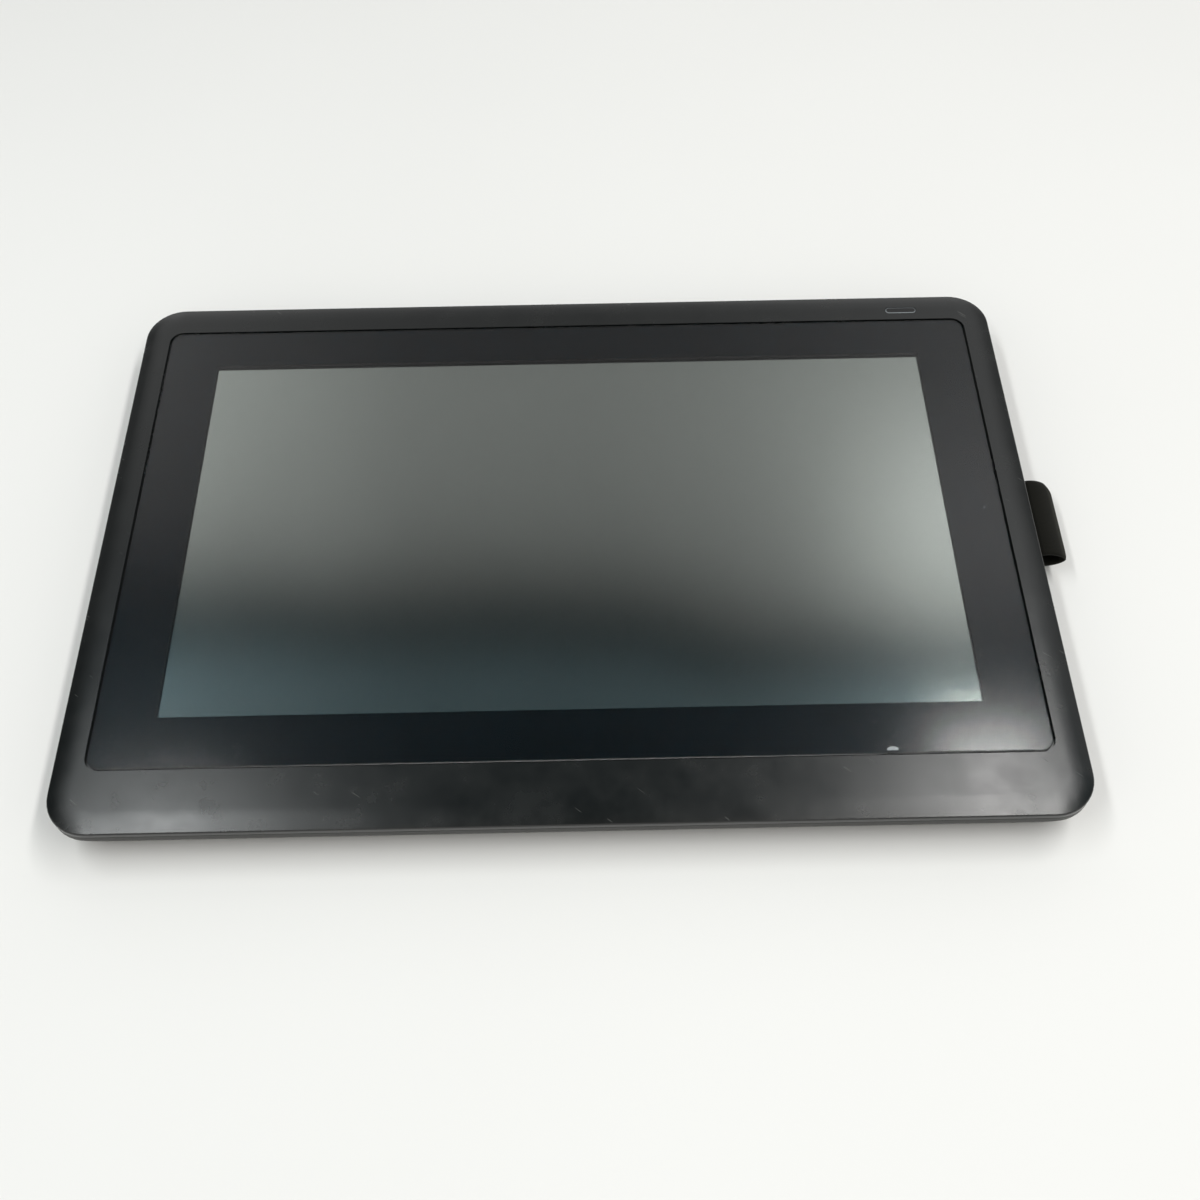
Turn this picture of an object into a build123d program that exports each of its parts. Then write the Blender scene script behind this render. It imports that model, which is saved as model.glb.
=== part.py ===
from build123d import *
from math import atan2, cos, degrees, radians, sqrt, tan
import os

# A pen display that lies on a desk: a framed glass screen over a shallow tapered housing,
# with two fold-out legs underneath and a cloth pen loop on its right side.
# Millimetres. X runs to the right, Y to the far edge, Z up from the desk.

# Screen and glass, seen from above
screen_width = 344.16
screen_depth = 193.59
window_margin = 0.72
border_side = 24.7
border_far = 21.05
border_near = 23.45
glass_gap = 0.9
glass_corner = 5.6

# Frame around the glass
bezel_side = 12.6
bezel_far = 16.25
bezel_near = 27.45
corner_radius = 18.0
bezel_depth = 3.6
bezel_skin = 2.4
roll_width = 10.0
roll_radius = 20.0
edge_radius = 1.0
glass_chamfer = 0.25
ledge_thickness = 1.5
tongue_height = 1.9
tongue_thickness = 1.1
tongue_clearance = 0.2

# Layers, from the desk up
foot_stand = 1.5
leg_inset = 0.4
leg_thickness = 7.8
leg_roof_gap = 1.0
well_wall = 1.8
cable_space = 2.4
chassis_thickness = 1.2
chassis_edge = 0.5
bead_count = 3
bead_pitch = 16.0
bead_from = 66.0
bead_edge_inset = 29.6
layer_gap = 0.05
shield_thickness = 0.35
sensor_thickness = 0.8
tray_thickness = 0.5
reflector_thickness = 0.25
guide_thickness = 1.6
film_thickness = 0.5
cell_thickness = 1.0
polariser_thickness = 0.2
panel_gap = 1.6
print_thickness = 0.1
glass_thickness = 1.1
glass_recess = 0.1
tape_thickness = 0.4

# Housing
rim_height = 2.8
parting_gap = 0.35
taper_inset = 6.6
cover_wall = 2.0
belly_radius = 1.5
rib_thickness = 1.2
rib_height = 2.4
rib_pitch = 34.0

# Screen module
cell_margin = 3.5
cell_ledge = 8.6
polariser_margin = 1.0
frame_wall = 1.4
frame_clearance = 0.5
film_margin = 1.2
light_bar_width = 3.0
driver_depth = 8.6
driver_thickness = 1.0
driver_gap = 1.2
driver_tabs = 6
tab_width = 22.0
tab_thickness = 0.2
sensor_overhang = 4.0
gasket_width = 2.2

# Screws: one for the housing, one for the boards
screw_radius = 1.1
screw_head_radius = 2.5
screw_head_height = 1.8
screw_clearance = 0.4
pilot_clearance = 0.05
screw_grip = 6.0
boss_radius = 3.75
boss_inset = 16.0
boss_corner_inset = 17.5
boss_side_place = 60.0
boss_middle_place = 65.0
boss_joint_height = 11.0
counterbore_depth = 4.0
post_radius = 3.0
post_clearance = 1.6
post_side_place = 62.0
post_middle_place = 92.0
small_screw_radius = 0.9
small_head_radius = 1.9
small_head_height = 0.9
small_grip = 3.0

# Legs and their wells
leg_width = 52.0
leg_length = 105.0
leg_from_side = 61.0
leg_side_gap = 0.6
leg_end_gap = 0.8
leg_skin = 2.2
leg_side_wall = 2.4
leg_corner = 5.0
leg_rib_drop = 2.3
leg_rib_count = 3
leg_pad_length = 6.0
pad_corner = 2.0
pad_proud = 0.3
pad_seat = 1.2
hinge_from_far_edge = 30.5
leg_open_angle = 105.0
stop_clearance = 0.12
hinge_pin_radius = 1.5
hinge_pin_reach = 4.0
hinge_pin_grip = 7.0
running_clearance = 0.05
cheek_wall = 2.6
stop_bevel_depth = 3.2
spring_thickness = 0.35
spring_length = 30.0
spring_span = 9.0
spring_clearance = 0.08
finger_width = 24.0
finger_length = 10.0
finger_depth = 6.4
pull_groove_height = 2.4
pull_groove_depth = 1.6

# Feet
foot_length = 44.4
foot_width = 8.0
foot_seat = 1.0
foot_clearance = 0.15
foot_from_side = 56.3
foot_edge_inset = 9.1
foot_round = 0.4
foot_corner = 2.0
foot_creep = 1.4

# Cable bay and socket
bay_width = 26.0
bay_length = 44.0
bay_depth = 9.4
port_width = 12.4
port_height = 3.4
port_length = 9.0
port_wall = 0.4
port_round = 1.2
port_clearance = 0.2
port_setback = 0.3
tongue_plate_height = 0.8

# Boards
board_thickness = 1.2
main_board_width = 150.0
main_board_depth = 74.0
board_head_room = 4.7
controller_width = 62.0
controller_depth = 30.0
controller_place = 58.0
chip_height = 1.1
chip_pitch = 10.0
main_chip_shares = [(-5, 1, 1.4, 1.4), (-3, -1, 0.9, 0.6), (4, 0.5, 1.2, 0.8), (2, -2, 0.6, 0.6), (5.5, -2, 0.9, 0.9)]
controller_chip_shares = [(-1, 0, 0.9, 0.9), (1, 0.4, 0.6, 0.5)]
can_width = 44.0
can_depth = 30.0
can_height = 2.6
connector_height = 1.9
connector_depth = 3.6
cable_thickness = 0.3
panel_cable_width = 20.0
sensor_cable_width = 26.0
button_cable_width = 5.0
cable_slot_margin = 1.5
cable_fold = 0.6
cable_reach = 3.5
cable_step = 4.0
panel_cable_inset = 27.0
button_cable_far = 14.0

# Power key, status light and their board
key_width = 15.6
key_height = 2.4
key_from_top = 2.3
key_proud = 0.3
key_travel = 0.5
key_clearance = 0.2
key_round = 0.35
key_flange = 0.8
key_flange_depth = 0.8
light_from_side = 42.8
light_from_far = 10.1
light_length = 15.2
light_width = 3.6
light_clearance = 0.2
light_flange = 0.9
light_stem = 3.0
light_gap = 0.3
key_board_width = 30.0
key_board_depth = 11.0
key_post_radius = 2.2
switch_width = 6.0
switch_depth = 2.6
switch_height = 3.4
switch_gap = 0.15
led_size = 1.6
led_height = 0.7

# Pen loop and its side sockets
loop_place = 7.8
loop_level = 12.5
loop_length = 42.0
loop_fabric = 1.0
loop_reach = 14.1
loop_root_height = 2.4
loop_crown_height = 8.2
loop_fold_height = 1.3
loop_seam = 1.6
loop_crown_share = 0.42
loop_pull = 14.0
clip_width = 44.0
clip_thickness = 3.0
clip_depth = 17.0
clip_setback = 0.6
loop_neck = 1.2
clip_notch = 1.2
clip_corner = 3.0
clip_clearance = 0.2
socket_wall = 1.2
socket_depth = 19.5

# Security slot
lock_place = 88.0
lock_slot_width = 7.0
lock_slot_height = 3.0
lock_plate_width = 22.0
lock_plate_height = 7.4
lock_plate_thickness = 1.5
lock_recess_width = 15.0
lock_recess_height = 7.0
lock_recess_depth = 2.4
lock_recess_wall = 1.5

# Spare nibs, kept over the right leg
nib_count = 6
nib_radius = 0.7
nib_length = 8.0
nib_pitch = 4.2
nib_slot_clearance = 0.15
holder_width = 30.0
holder_depth = 21.0
holder_height = 2.4
holder_place = 48.0
puller_radius = 4.6
puller_hole_radius = 2.4
puller_height = 1.2

# Sides of the small round features that repeat
post_sides = 8
hole_sides = 6
bore_sides = 12
ring_sides = 18

# Overrun of every cut past the face that it opens
over = 1.0

# Levels worked out from the layers
cover_bottom = foot_stand
floor_top = cover_bottom + cover_wall
leg_bottom = cover_bottom + leg_inset
leg_top = leg_bottom + leg_thickness
hinge_level = leg_bottom + leg_thickness / 2
well_roof = leg_top + leg_roof_gap
chassis_bottom = well_roof + well_wall + cable_space
chassis_top = chassis_bottom + chassis_thickness
shield_bottom = chassis_top + layer_gap
sensor_bottom = shield_bottom + shield_thickness + layer_gap
tray_bottom = sensor_bottom + sensor_thickness + layer_gap
tray_floor = tray_bottom + tray_thickness
reflector_bottom = tray_floor + layer_gap
guide_bottom = reflector_bottom + reflector_thickness + layer_gap
film_bottom = guide_bottom + guide_thickness + layer_gap
cell_bottom = film_bottom + film_thickness + layer_gap
cell_top = cell_bottom + cell_thickness
panel_top = cell_top + polariser_thickness
print_bottom = panel_top + panel_gap
glass_bottom = print_bottom + print_thickness
glass_top = glass_bottom + glass_thickness
body_top = glass_top + glass_recess
ledge_top = print_bottom - tape_thickness
ledge_bottom = ledge_top - ledge_thickness
bezel_bottom = body_top - bezel_depth
skin_bottom = body_top - bezel_skin
cover_top = bezel_bottom - parting_gap
taper_top = cover_top - rim_height

# Outlines worked out from the screen
window_width = screen_width + 2 * window_margin
window_depth = screen_depth + 2 * window_margin
glass_width = window_width + 2 * border_side
glass_depth = window_depth + border_far + border_near
opening_width = glass_width + 2 * glass_gap
opening_depth = glass_depth + 2 * glass_gap
body_width = opening_width + 2 * bezel_side
body_depth = opening_depth + bezel_far + bezel_near
half_width = body_width / 2
half_depth = body_depth / 2
near_edge = -half_depth
far_edge = half_depth
glass_y = near_edge + bezel_near + glass_gap + glass_depth / 2
screen_y = near_edge + bezel_near + glass_gap + border_near + window_margin + screen_depth / 2
taper_slope = taper_inset / (taper_top - cover_bottom)

# Screen module outline: the cell has a wide ledge on its near side for the driver films
cell_near = screen_y - screen_depth / 2 - cell_ledge
cell_far = screen_y + screen_depth / 2 + cell_margin
cell_side = screen_width / 2 + cell_margin
tray_in_side = cell_side + frame_clearance
tray_in_far = cell_far + frame_clearance
tray_in_near = cell_near - frame_clearance
tray_side = tray_in_side + frame_wall
tray_far = tray_in_far + frame_wall
tray_near = tray_in_near - frame_wall - driver_gap - driver_depth
ledge_side = tray_side + frame_clearance
ledge_far = tray_far + frame_clearance
ledge_near = tray_near - frame_clearance
driver_top = tray_floor + layer_gap + driver_thickness
cable_slot_y = tray_near - cable_slot_margin - cable_fold

# Chassis: it reaches past the module to the posts under the frame's ledge
post_side = tray_side + post_clearance + post_radius
post_far = tray_far + post_clearance + post_radius
post_near = tray_near - post_clearance - post_radius
chassis_side = post_side + post_radius + chassis_edge
chassis_far = post_far + post_radius + chassis_edge
chassis_near = post_near - post_radius - chassis_edge

# Legs: the open leg lies against a slanted face at the far end of its well
leg_lean = leg_open_angle - 90
hinge_y = far_edge - hinge_from_far_edge
barrel_radius = leg_thickness / 2
leg_place = half_width - leg_from_side
stop_slope = tan(radians(leg_lean))
stop_top = cover_bottom + stop_bevel_depth
well_far = hinge_y + barrel_radius / cos(radians(leg_lean)) + (hinge_level - stop_top) * stop_slope + stop_clearance
leg_tip = hinge_y - leg_length
well_near = leg_tip - leg_end_gap
well_half = leg_width / 2 + leg_side_gap
pin_end = well_half + hinge_pin_reach

# Feet
foot_place = half_width - foot_from_side

# Boards hang under the chassis, the main one between the two wells
main_board_top = chassis_bottom - board_head_room
main_board_bottom = main_board_top - board_thickness
bay_near = far_edge - bay_length
bay_roof = cover_bottom + bay_depth
bay_wall_near = bay_near - cover_wall
main_board_far = bay_wall_near - port_clearance
main_board_near = main_board_far - main_board_depth
controller_near = main_board_near - controller_place
controller_far = controller_near + controller_depth
connector_level = main_board_top + connector_height / 2
panel_cable_place = main_board_width / 2 - panel_cable_inset
under_chassis = chassis_bottom - cable_space / 2
port_level = main_board_bottom - layer_gap - port_height / 2

# Power key, status light
light_x = half_width - light_from_side
light_y = far_edge - light_from_far
key_level = cover_top - key_from_top
key_wall_inner = far_edge - cover_wall
key_flange_bottom = key_level - key_height / 2 - key_flange
key_flange_far = key_wall_inner - taper_slope * (taper_top - key_flange_bottom) - key_clearance
key_flange_near = key_flange_far - key_flange_depth
switch_far = key_flange_near - key_travel - switch_gap
key_board_top = key_level - switch_height / 2
key_board_bottom = key_board_top - board_thickness
key_board_far = switch_far + switch_gap
key_board_near = key_board_far - key_board_depth

# Pen loop
loop_tip_x = half_width + loop_reach
wall_at_loop = half_width - taper_slope * (taper_top - loop_level)
clip_outer_x = wall_at_loop - clip_setback
clip_inner_x = clip_outer_x - clip_depth
clip_slot_half = clip_thickness / 2 + clip_clearance

# Security slot
lock_face = wall_at_loop - lock_recess_depth

# The frame's origin is the middle of the whole footprint, pen loop included
frame_shift = -loop_reach / 2

housing_boss_places = (
    [(s * (half_width - boss_corner_inset), t * (half_depth - boss_corner_inset)) for s in (-1, 1) for t in (-1, 1)]
    + [(s * (half_width - boss_inset), t * boss_side_place) for s in (-1, 1) for t in (-1, 1)]
    + [(s * boss_middle_place, t * (half_depth - boss_inset)) for s in (-1, 1) for t in (-1, 1)]
)
chassis_post_places = [
    (s * post_side, screen_y + t * post_side_place) for s in (-1, 1) for t in (-1, 1)
] + [(s * post_middle_place, y) for s in (-1, 1) for y in (post_near, post_far)]
main_board_screw_places = [
    (s * (main_board_width / 2 - post_radius), y)
    for s in (-1, 1)
    for y in (main_board_near + post_radius, main_board_far - post_radius)
]
controller_screw_places = [
    (s * (controller_width / 2 - post_radius), (controller_near + controller_far) / 2) for s in (-1, 1)
]
board_screw_places = main_board_screw_places + controller_screw_places
key_screw_places = [
    (light_x + s * (key_board_width / 2 - key_post_radius), key_board_near + key_post_radius) for s in (-1, 1)
]


def block(x0, x1, y0, y1, z0, z1):
    """A box between two corners."""
    return Pos((x0 + x1) / 2, (y0 + y1) / 2, (z0 + z1) / 2) * Box(x1 - x0, y1 - y0, z1 - z0)


def slab(width, depth, radius, z0, z1, x=0, y=0):
    """A plate with rounded corners, centred on x and y."""
    return extrude(Plane((x, y, z0)) * RectangleRounded(width, depth, radius), z1 - z0)


def peg(x, y, radius, z0, z1):
    """An upright cylinder."""
    return Pos(x, y, (z0 + z1) / 2) * Cylinder(radius, z1 - z0)


def post(x, y, radius, z0, z1, sides=post_sides):
    """An upright many-sided post inside a circle of this radius, for small pieces that repeat."""
    return extrude(Plane((x, y, z0)) * RegularPolygon(radius, sides), z1 - z0)


def hole(x, y, radius, z0, z1, sides=hole_sides):
    """The many-sided hole round a circle of this radius."""
    return extrude(Plane((x, y, z0)) * RegularPolygon(radius, sides, major_radius=False), z1 - z0)


def rod(x0, x1, y, z, radius):
    """A cylinder along X."""
    return Pos((x0 + x1) / 2, y, z) * Rot(0, 90, 0) * Cylinder(radius, x1 - x0)


def ring(x0, x1, y0, y1, inset, z0, z1):
    """A rectangular frame of even width inside an outline."""
    outer = block(x0, x1, y0, y1, z0, z1)
    return outer - block(x0 + inset, x1 - inset, y0 + inset, y1 - inset, z0 - over, z1 + over)


def slot_bar(width, height, x, y0, y1, z):
    """A bar along Y with round ends to its section."""
    return extrude(Plane((x, y0, z), x_dir=(1, 0, 0), z_dir=(0, 1, 0)) * SlotOverall(width, height), y1 - y0)


def cut_corners(width, depth, corner, z0, z1, x=0, y=0):
    """A plate whose four corners are cut off at 45 degrees, centred on x and y."""
    return extrude(Plane((x, y, z0)) * chamfer(Rectangle(width, depth).vertices(), corner), z1 - z0)


def creased(points, across, width, thickness):
    """A film or flat cable with sharp creases along a stepped line; across is the direction of its width."""
    line = Polyline(*points)
    start = Plane(origin=line @ 0, z_dir=line % 0, x_dir=across)
    return sweep(start * Rectangle(width, thickness), path=line, transition=Transition.RIGHT)


def group(shapes):
    """Several separate solids kept in one node."""
    return Compound([solid for shape in shapes for solid in shape.solids()])


def screw(x, y, z, radius, length, head_radius, head_height):
    """A screw that points up, its head's seat at z."""
    head = post(x, y, head_radius, z - head_height, z)
    return head + post(x, y, radius, z - layer_gap, z + length, hole_sides)


def tapered(inset, z0, z1):
    """The housing's body below its rim, drawn in towards the bottom, with its walls set in by inset."""
    outlines = []
    for z in (z0, z1):
        lean = inset + taper_slope * (taper_top - z)
        outlines.append(
            Plane.XY.offset(z)
            * RectangleRounded(body_width - 2 * lean, body_depth - 2 * lean, corner_radius - lean)
        )
    return loft(outlines)


def housing_outside():
    """The whole outer form of the housing: tapered body, rounded belly and upright rim."""
    lower = tapered(0, cover_bottom, taper_top)
    lower = fillet(lower.faces().sort_by(Axis.Z)[0].outer_wire().edges(), belly_radius)
    return lower + slab(body_width, body_depth, corner_radius, taper_top, cover_top)


def housing_inside():
    """The room inside the housing's walls."""
    width, depth = body_width - 2 * cover_wall, body_depth - 2 * cover_wall
    rim = slab(width, depth, corner_radius - cover_wall, taper_top, cover_top + over)
    return tapered(cover_wall, floor_top, taper_top) + rim


def leg_well(side):
    """Outer and inner form of one leg's well, with cheeks for the hinge pins."""
    x = side * leg_place
    middle = (well_far + well_near) / 2
    roof = well_roof + well_wall
    low = cover_bottom + layer_gap
    outer = block(
        x - well_half - well_wall, x + well_half + well_wall, well_near - well_wall, well_far + well_wall, low, roof
    )
    outer += block(x - pin_end, x + pin_end, hinge_y - barrel_radius - cheek_wall, well_far + well_wall, low, roof)
    inner = slab(2 * well_half, well_far - well_near, leg_corner, cover_bottom - over, well_roof, x, middle)
    inner += block(x - well_half, x + well_half, hinge_y - barrel_radius, well_far, cover_bottom - over, well_roof)
    return outer, inner


def stop_bevel(side):
    """The slanted face at the far end of a well, where the open leg comes to rest."""
    low = cover_bottom - over
    profile = Polygon(
        (well_far - over, low),
        (well_far + (stop_top - low) * stop_slope, low),
        (well_far, stop_top),
        (well_far - over, stop_top),
        align=None,
    )
    plane = Plane((side * leg_place - well_half, 0, 0), x_dir=(0, 1, 0), z_dir=(1, 0, 0))
    return extrude(plane * profile, 2 * well_half)


def finger_scoop(side):
    """Outer and inner form of the hollow where a fingertip gets behind the leg's end."""
    x = side * leg_place
    roof = cover_bottom + finger_depth
    inner = slab(finger_width, 2 * finger_length, leg_corner, cover_bottom - over, roof, x, well_near)
    outer = block(
        x - finger_width / 2 - well_wall,
        x + finger_width / 2 + well_wall,
        well_near - finger_length - well_wall,
        well_near,
        cover_bottom + layer_gap,
        roof + well_wall,
    )
    return outer, inner


def nib_pocket():
    """Outer and inner form of the pocket for spare nibs in the right well's roof."""
    y = hinge_y - holder_place
    wide, deep = holder_width + 2 * port_clearance, holder_depth + 2 * port_clearance
    top = well_roof + holder_height + layer_gap
    inner = slab(wide, deep, nib_pitch / 2, well_roof - over, top, leg_place, y)
    outer = slab(
        wide + 2 * rib_thickness, deep + 2 * rib_thickness, nib_pitch / 2, well_roof + layer_gap,
        top + rib_thickness - port_clearance, leg_place, y
    )
    return outer, inner


def cable_bay():
    """Outer and inner form of the bay for the cable's plug, open below and through the far wall."""
    inner = slab(
        bay_width, 2 * bay_length, leg_corner, cover_bottom - over, bay_roof, 0, bay_near + bay_length
    )
    outer = block(
        -bay_width / 2 - cover_wall,
        bay_width / 2 + cover_wall,
        bay_wall_near,
        far_edge,
        cover_bottom + layer_gap,
        bay_roof + cover_wall,
    )
    return outer, inner


def lock_pad():
    """Outer and inner form of the flat-faced recess in the left wall for a lock's head."""
    half_w, half_h = lock_recess_width / 2, lock_recess_height / 2
    inner = block(
        -half_width - over, -lock_face, lock_place - half_w, lock_place + half_w, loop_level - half_h,
        loop_level + half_h
    )
    outer = block(
        -half_width - over,
        -lock_face + cover_wall,
        lock_place - half_w - lock_recess_wall,
        lock_place + half_w + lock_recess_wall,
        loop_level - half_h - lock_recess_wall,
        loop_level + half_h + lock_recess_wall,
    )
    return outer, inner


def lock_slot(x0, x1):
    """The oblong hole of the security slot."""
    plane = Plane((x0, lock_place, loop_level), x_dir=(0, 1, 0), z_dir=(1, 0, 0))
    return extrude(plane * SlotOverall(lock_slot_width, lock_slot_height), x1 - x0)


def clip_slot(x0, x1):
    """The slot through a side wall that takes the pen loop's clip."""
    half = clip_width / 2 + clip_clearance
    low, high = loop_level - clip_slot_half, loop_level + clip_slot_half
    return block(x0, x1, loop_place - half, loop_place + half, low, high)


def foot_seats(grow, z0, z1):
    """The four foot outlines by name; the near left foot has crept forward on its adhesive."""
    rows = {"near": near_edge + foot_edge_inset + foot_width / 2, "far": far_edge - foot_edge_inset - foot_width / 2}
    seats = {}
    for row, y in rows.items():
        for hand, side in (("left", -1), ("right", 1)):
            creep = foot_creep if (row, hand) == ("near", "left") else 0
            seats[f"foot_{row}_{hand}"] = cut_corners(
                foot_length + 2 * grow, foot_width + 2 * grow, foot_corner, z0, z1, side * foot_place, y - creep
            )
    return seats


def back_cover():
    """Moulded housing: tapered shell with leg wells, cable bay, screw tubes, seats and stiffening ribs."""
    outside = housing_outside()
    cover = outside - housing_inside()
    hollows = [
        leg_well(-1), leg_well(1), finger_scoop(-1), finger_scoop(1), nib_pocket(), cable_bay(), lock_pad()
    ]
    cover += [outer & outside for outer, _ in hollows]
    cover += [post(x, y, boss_radius, cover_bottom + layer_gap, boss_joint_height) for x, y in housing_boss_places]
    low, high = floor_top - layer_gap, floor_top + rib_height
    rib_near, rib_far = near_edge + boss_inset + boss_radius + rib_height, main_board_near
    across = [
        block(-boss_middle_place, boss_middle_place, y, y + rib_thickness, low, high)
        for y in [rib_near + rib_pitch * i for i in range(int((rib_far - rib_near) // rib_pitch) + 1)]
    ]
    reach = int(boss_middle_place // rib_pitch)
    along = [
        block(x - rib_thickness / 2, x + rib_thickness / 2, rib_near, rib_far, low, high)
        for x in [rib_pitch * i for i in range(-reach, reach + 1)]
    ]
    cover += across + along
    cover -= [inner for _, inner in hollows]
    bore = hinge_pin_radius + running_clearance
    for side in (-1, 1):
        x = side * leg_place
        cover -= stop_bevel(side)
        cover -= rod(x - pin_end - over, x + pin_end + over, hinge_y, hinge_level, bore)
    cover -= clip_slot(-half_width, half_width)
    cover -= list(foot_seats(foot_clearance, cover_bottom - over, cover_bottom + foot_seat).values())
    for x, y in housing_boss_places:
        seat = cover_bottom + counterbore_depth
        cover -= hole(x, y, screw_head_radius + screw_clearance, cover_bottom - over, seat, bore_sides)
        cover -= hole(x, y, screw_radius + screw_clearance, cover_bottom, boss_joint_height + over)
    port_w, port_h = port_width + 2 * port_clearance, port_height + 2 * port_clearance
    cover -= slot_bar(port_w, port_h, 0, bay_wall_near - over, bay_near + over, port_level)
    hole_width, hole_height = key_width + 2 * key_clearance, key_height + 2 * key_clearance
    cover -= slot_bar(hole_width, hole_height, light_x, key_flange_near, far_edge + over, key_level)
    cover -= lock_slot(-half_width, -lock_face + cover_wall + over)
    return cover


def rim_roll():
    """What the rolled-off edge leaves away, all the way round the frame's outline."""
    outline = (Plane.XY.offset(body_top) * RectangleRounded(body_width, body_depth, corner_radius)).face().outer_wire()
    along = outline % 0
    out = along.cross(Vector(0, 0, 1))
    plane = Plane(origin=outline @ 0, x_dir=out, z_dir=-along)
    reach = roll_radius - edge_radius
    side = roll_width - edge_radius
    drop = sqrt(reach**2 - side**2)
    turn = degrees(atan2(drop, side))
    roll = CenterArc((-roll_width, -roll_radius), roll_radius, 90, turn - 90)
    lip = CenterArc((-edge_radius, drop - roll_radius), edge_radius, turn, -turn)
    low = drop - roll_radius
    rest = Polyline((0, low), (over, low), (over, over), (-roll_width, over), (-roll_width, 0))
    return sweep(plane * make_face(roll + lip + rest), path=outline)


def front_bezel():
    """Moulded frame: rolled outer edge, ledge under the glass, lip inside the housing's rim, screw bosses."""
    bezel = slab(body_width, body_depth, corner_radius, bezel_bottom, body_top)
    wall = cover_wall + tongue_clearance + tongue_thickness
    width, depth = body_width - 2 * wall, body_depth - 2 * wall
    bezel -= slab(width, depth, corner_radius - wall, bezel_bottom - over, skin_bottom)
    outer = cover_wall + tongue_clearance
    lip = slab(
        body_width - 2 * outer, body_depth - 2 * outer, corner_radius - outer, bezel_bottom - tongue_height,
        bezel_bottom + layer_gap
    )
    bezel += lip - slab(width, depth, corner_radius - wall, bezel_bottom - tongue_height - over, bezel_bottom + over)
    bezel += slab(
        opening_width + 2 * ledge_thickness,
        opening_depth + 2 * ledge_thickness,
        glass_corner,
        ledge_bottom,
        skin_bottom + layer_gap,
        y=glass_y,
    )
    bezel += [post(x, y, boss_radius, boss_joint_height + layer_gap, skin_bottom) for x, y in housing_boss_places]
    bezel += [post(x, y, post_radius, chassis_top + layer_gap, ledge_bottom) for x, y in chassis_post_places]
    bezel += [post(x, y, key_post_radius, key_board_top + layer_gap, skin_bottom) for x, y in key_screw_places]
    bezel -= rim_roll()
    bezel -= slab(opening_width, opening_depth, glass_corner + glass_gap, ledge_top, body_top + over, y=glass_y)
    bezel -= block(-ledge_side, ledge_side, ledge_near, ledge_far, ledge_bottom - over, ledge_top + over)
    grip = boss_joint_height + screw_grip + over
    for x, y in housing_boss_places:
        bezel -= hole(x, y, screw_radius + pilot_clearance, boss_joint_height - over, grip)
    pilot = small_screw_radius + pilot_clearance
    for x, y in chassis_post_places:
        bezel -= hole(x, y, pilot, chassis_top - over, ledge_bottom - layer_gap)
    for x, y in key_screw_places:
        bezel -= hole(x, y, pilot, key_board_top - over, skin_bottom - layer_gap)
    half_notch = key_width / 2 + key_flange + key_clearance
    bezel -= block(
        light_x - half_notch, light_x + half_notch, key_flange_near - key_travel, far_edge - cover_wall,
        bezel_bottom - tongue_height - over, bezel_bottom
    )
    window = Plane((light_x, light_y, skin_bottom - over)) * SlotOverall(
        light_length + 2 * light_clearance, light_width + 2 * light_clearance
    )
    return bezel - extrude(window, bezel_skin + 2 * over)


def cover_glass():
    """The front glass, its upper edge ground to a small bevel."""
    glass = slab(glass_width, glass_depth, glass_corner, glass_bottom, glass_top, y=glass_y)
    return chamfer(glass.faces().sort_by(Axis.Z)[-1].outer_wire().edges(), glass_chamfer)


def border_print():
    """The black border printed on the glass's back, open over the screen."""
    border = slab(glass_width, glass_depth, glass_corner, print_bottom, glass_bottom - layer_gap / 2, y=glass_y)
    return border - block(
        -window_width / 2,
        window_width / 2,
        screen_y - window_depth / 2,
        screen_y + window_depth / 2,
        print_bottom - over,
        glass_bottom + over,
    )


def glass_tape():
    """The adhesive frame between the ledge and the glass."""
    tape = slab(
        glass_width - 2 * layer_gap,
        glass_depth - 2 * layer_gap,
        glass_corner,
        ledge_top + layer_gap,
        print_bottom - layer_gap,
        y=glass_y,
    )
    return tape - block(-ledge_side, ledge_side, ledge_near, ledge_far, ledge_top - over, print_bottom + over)


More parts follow.
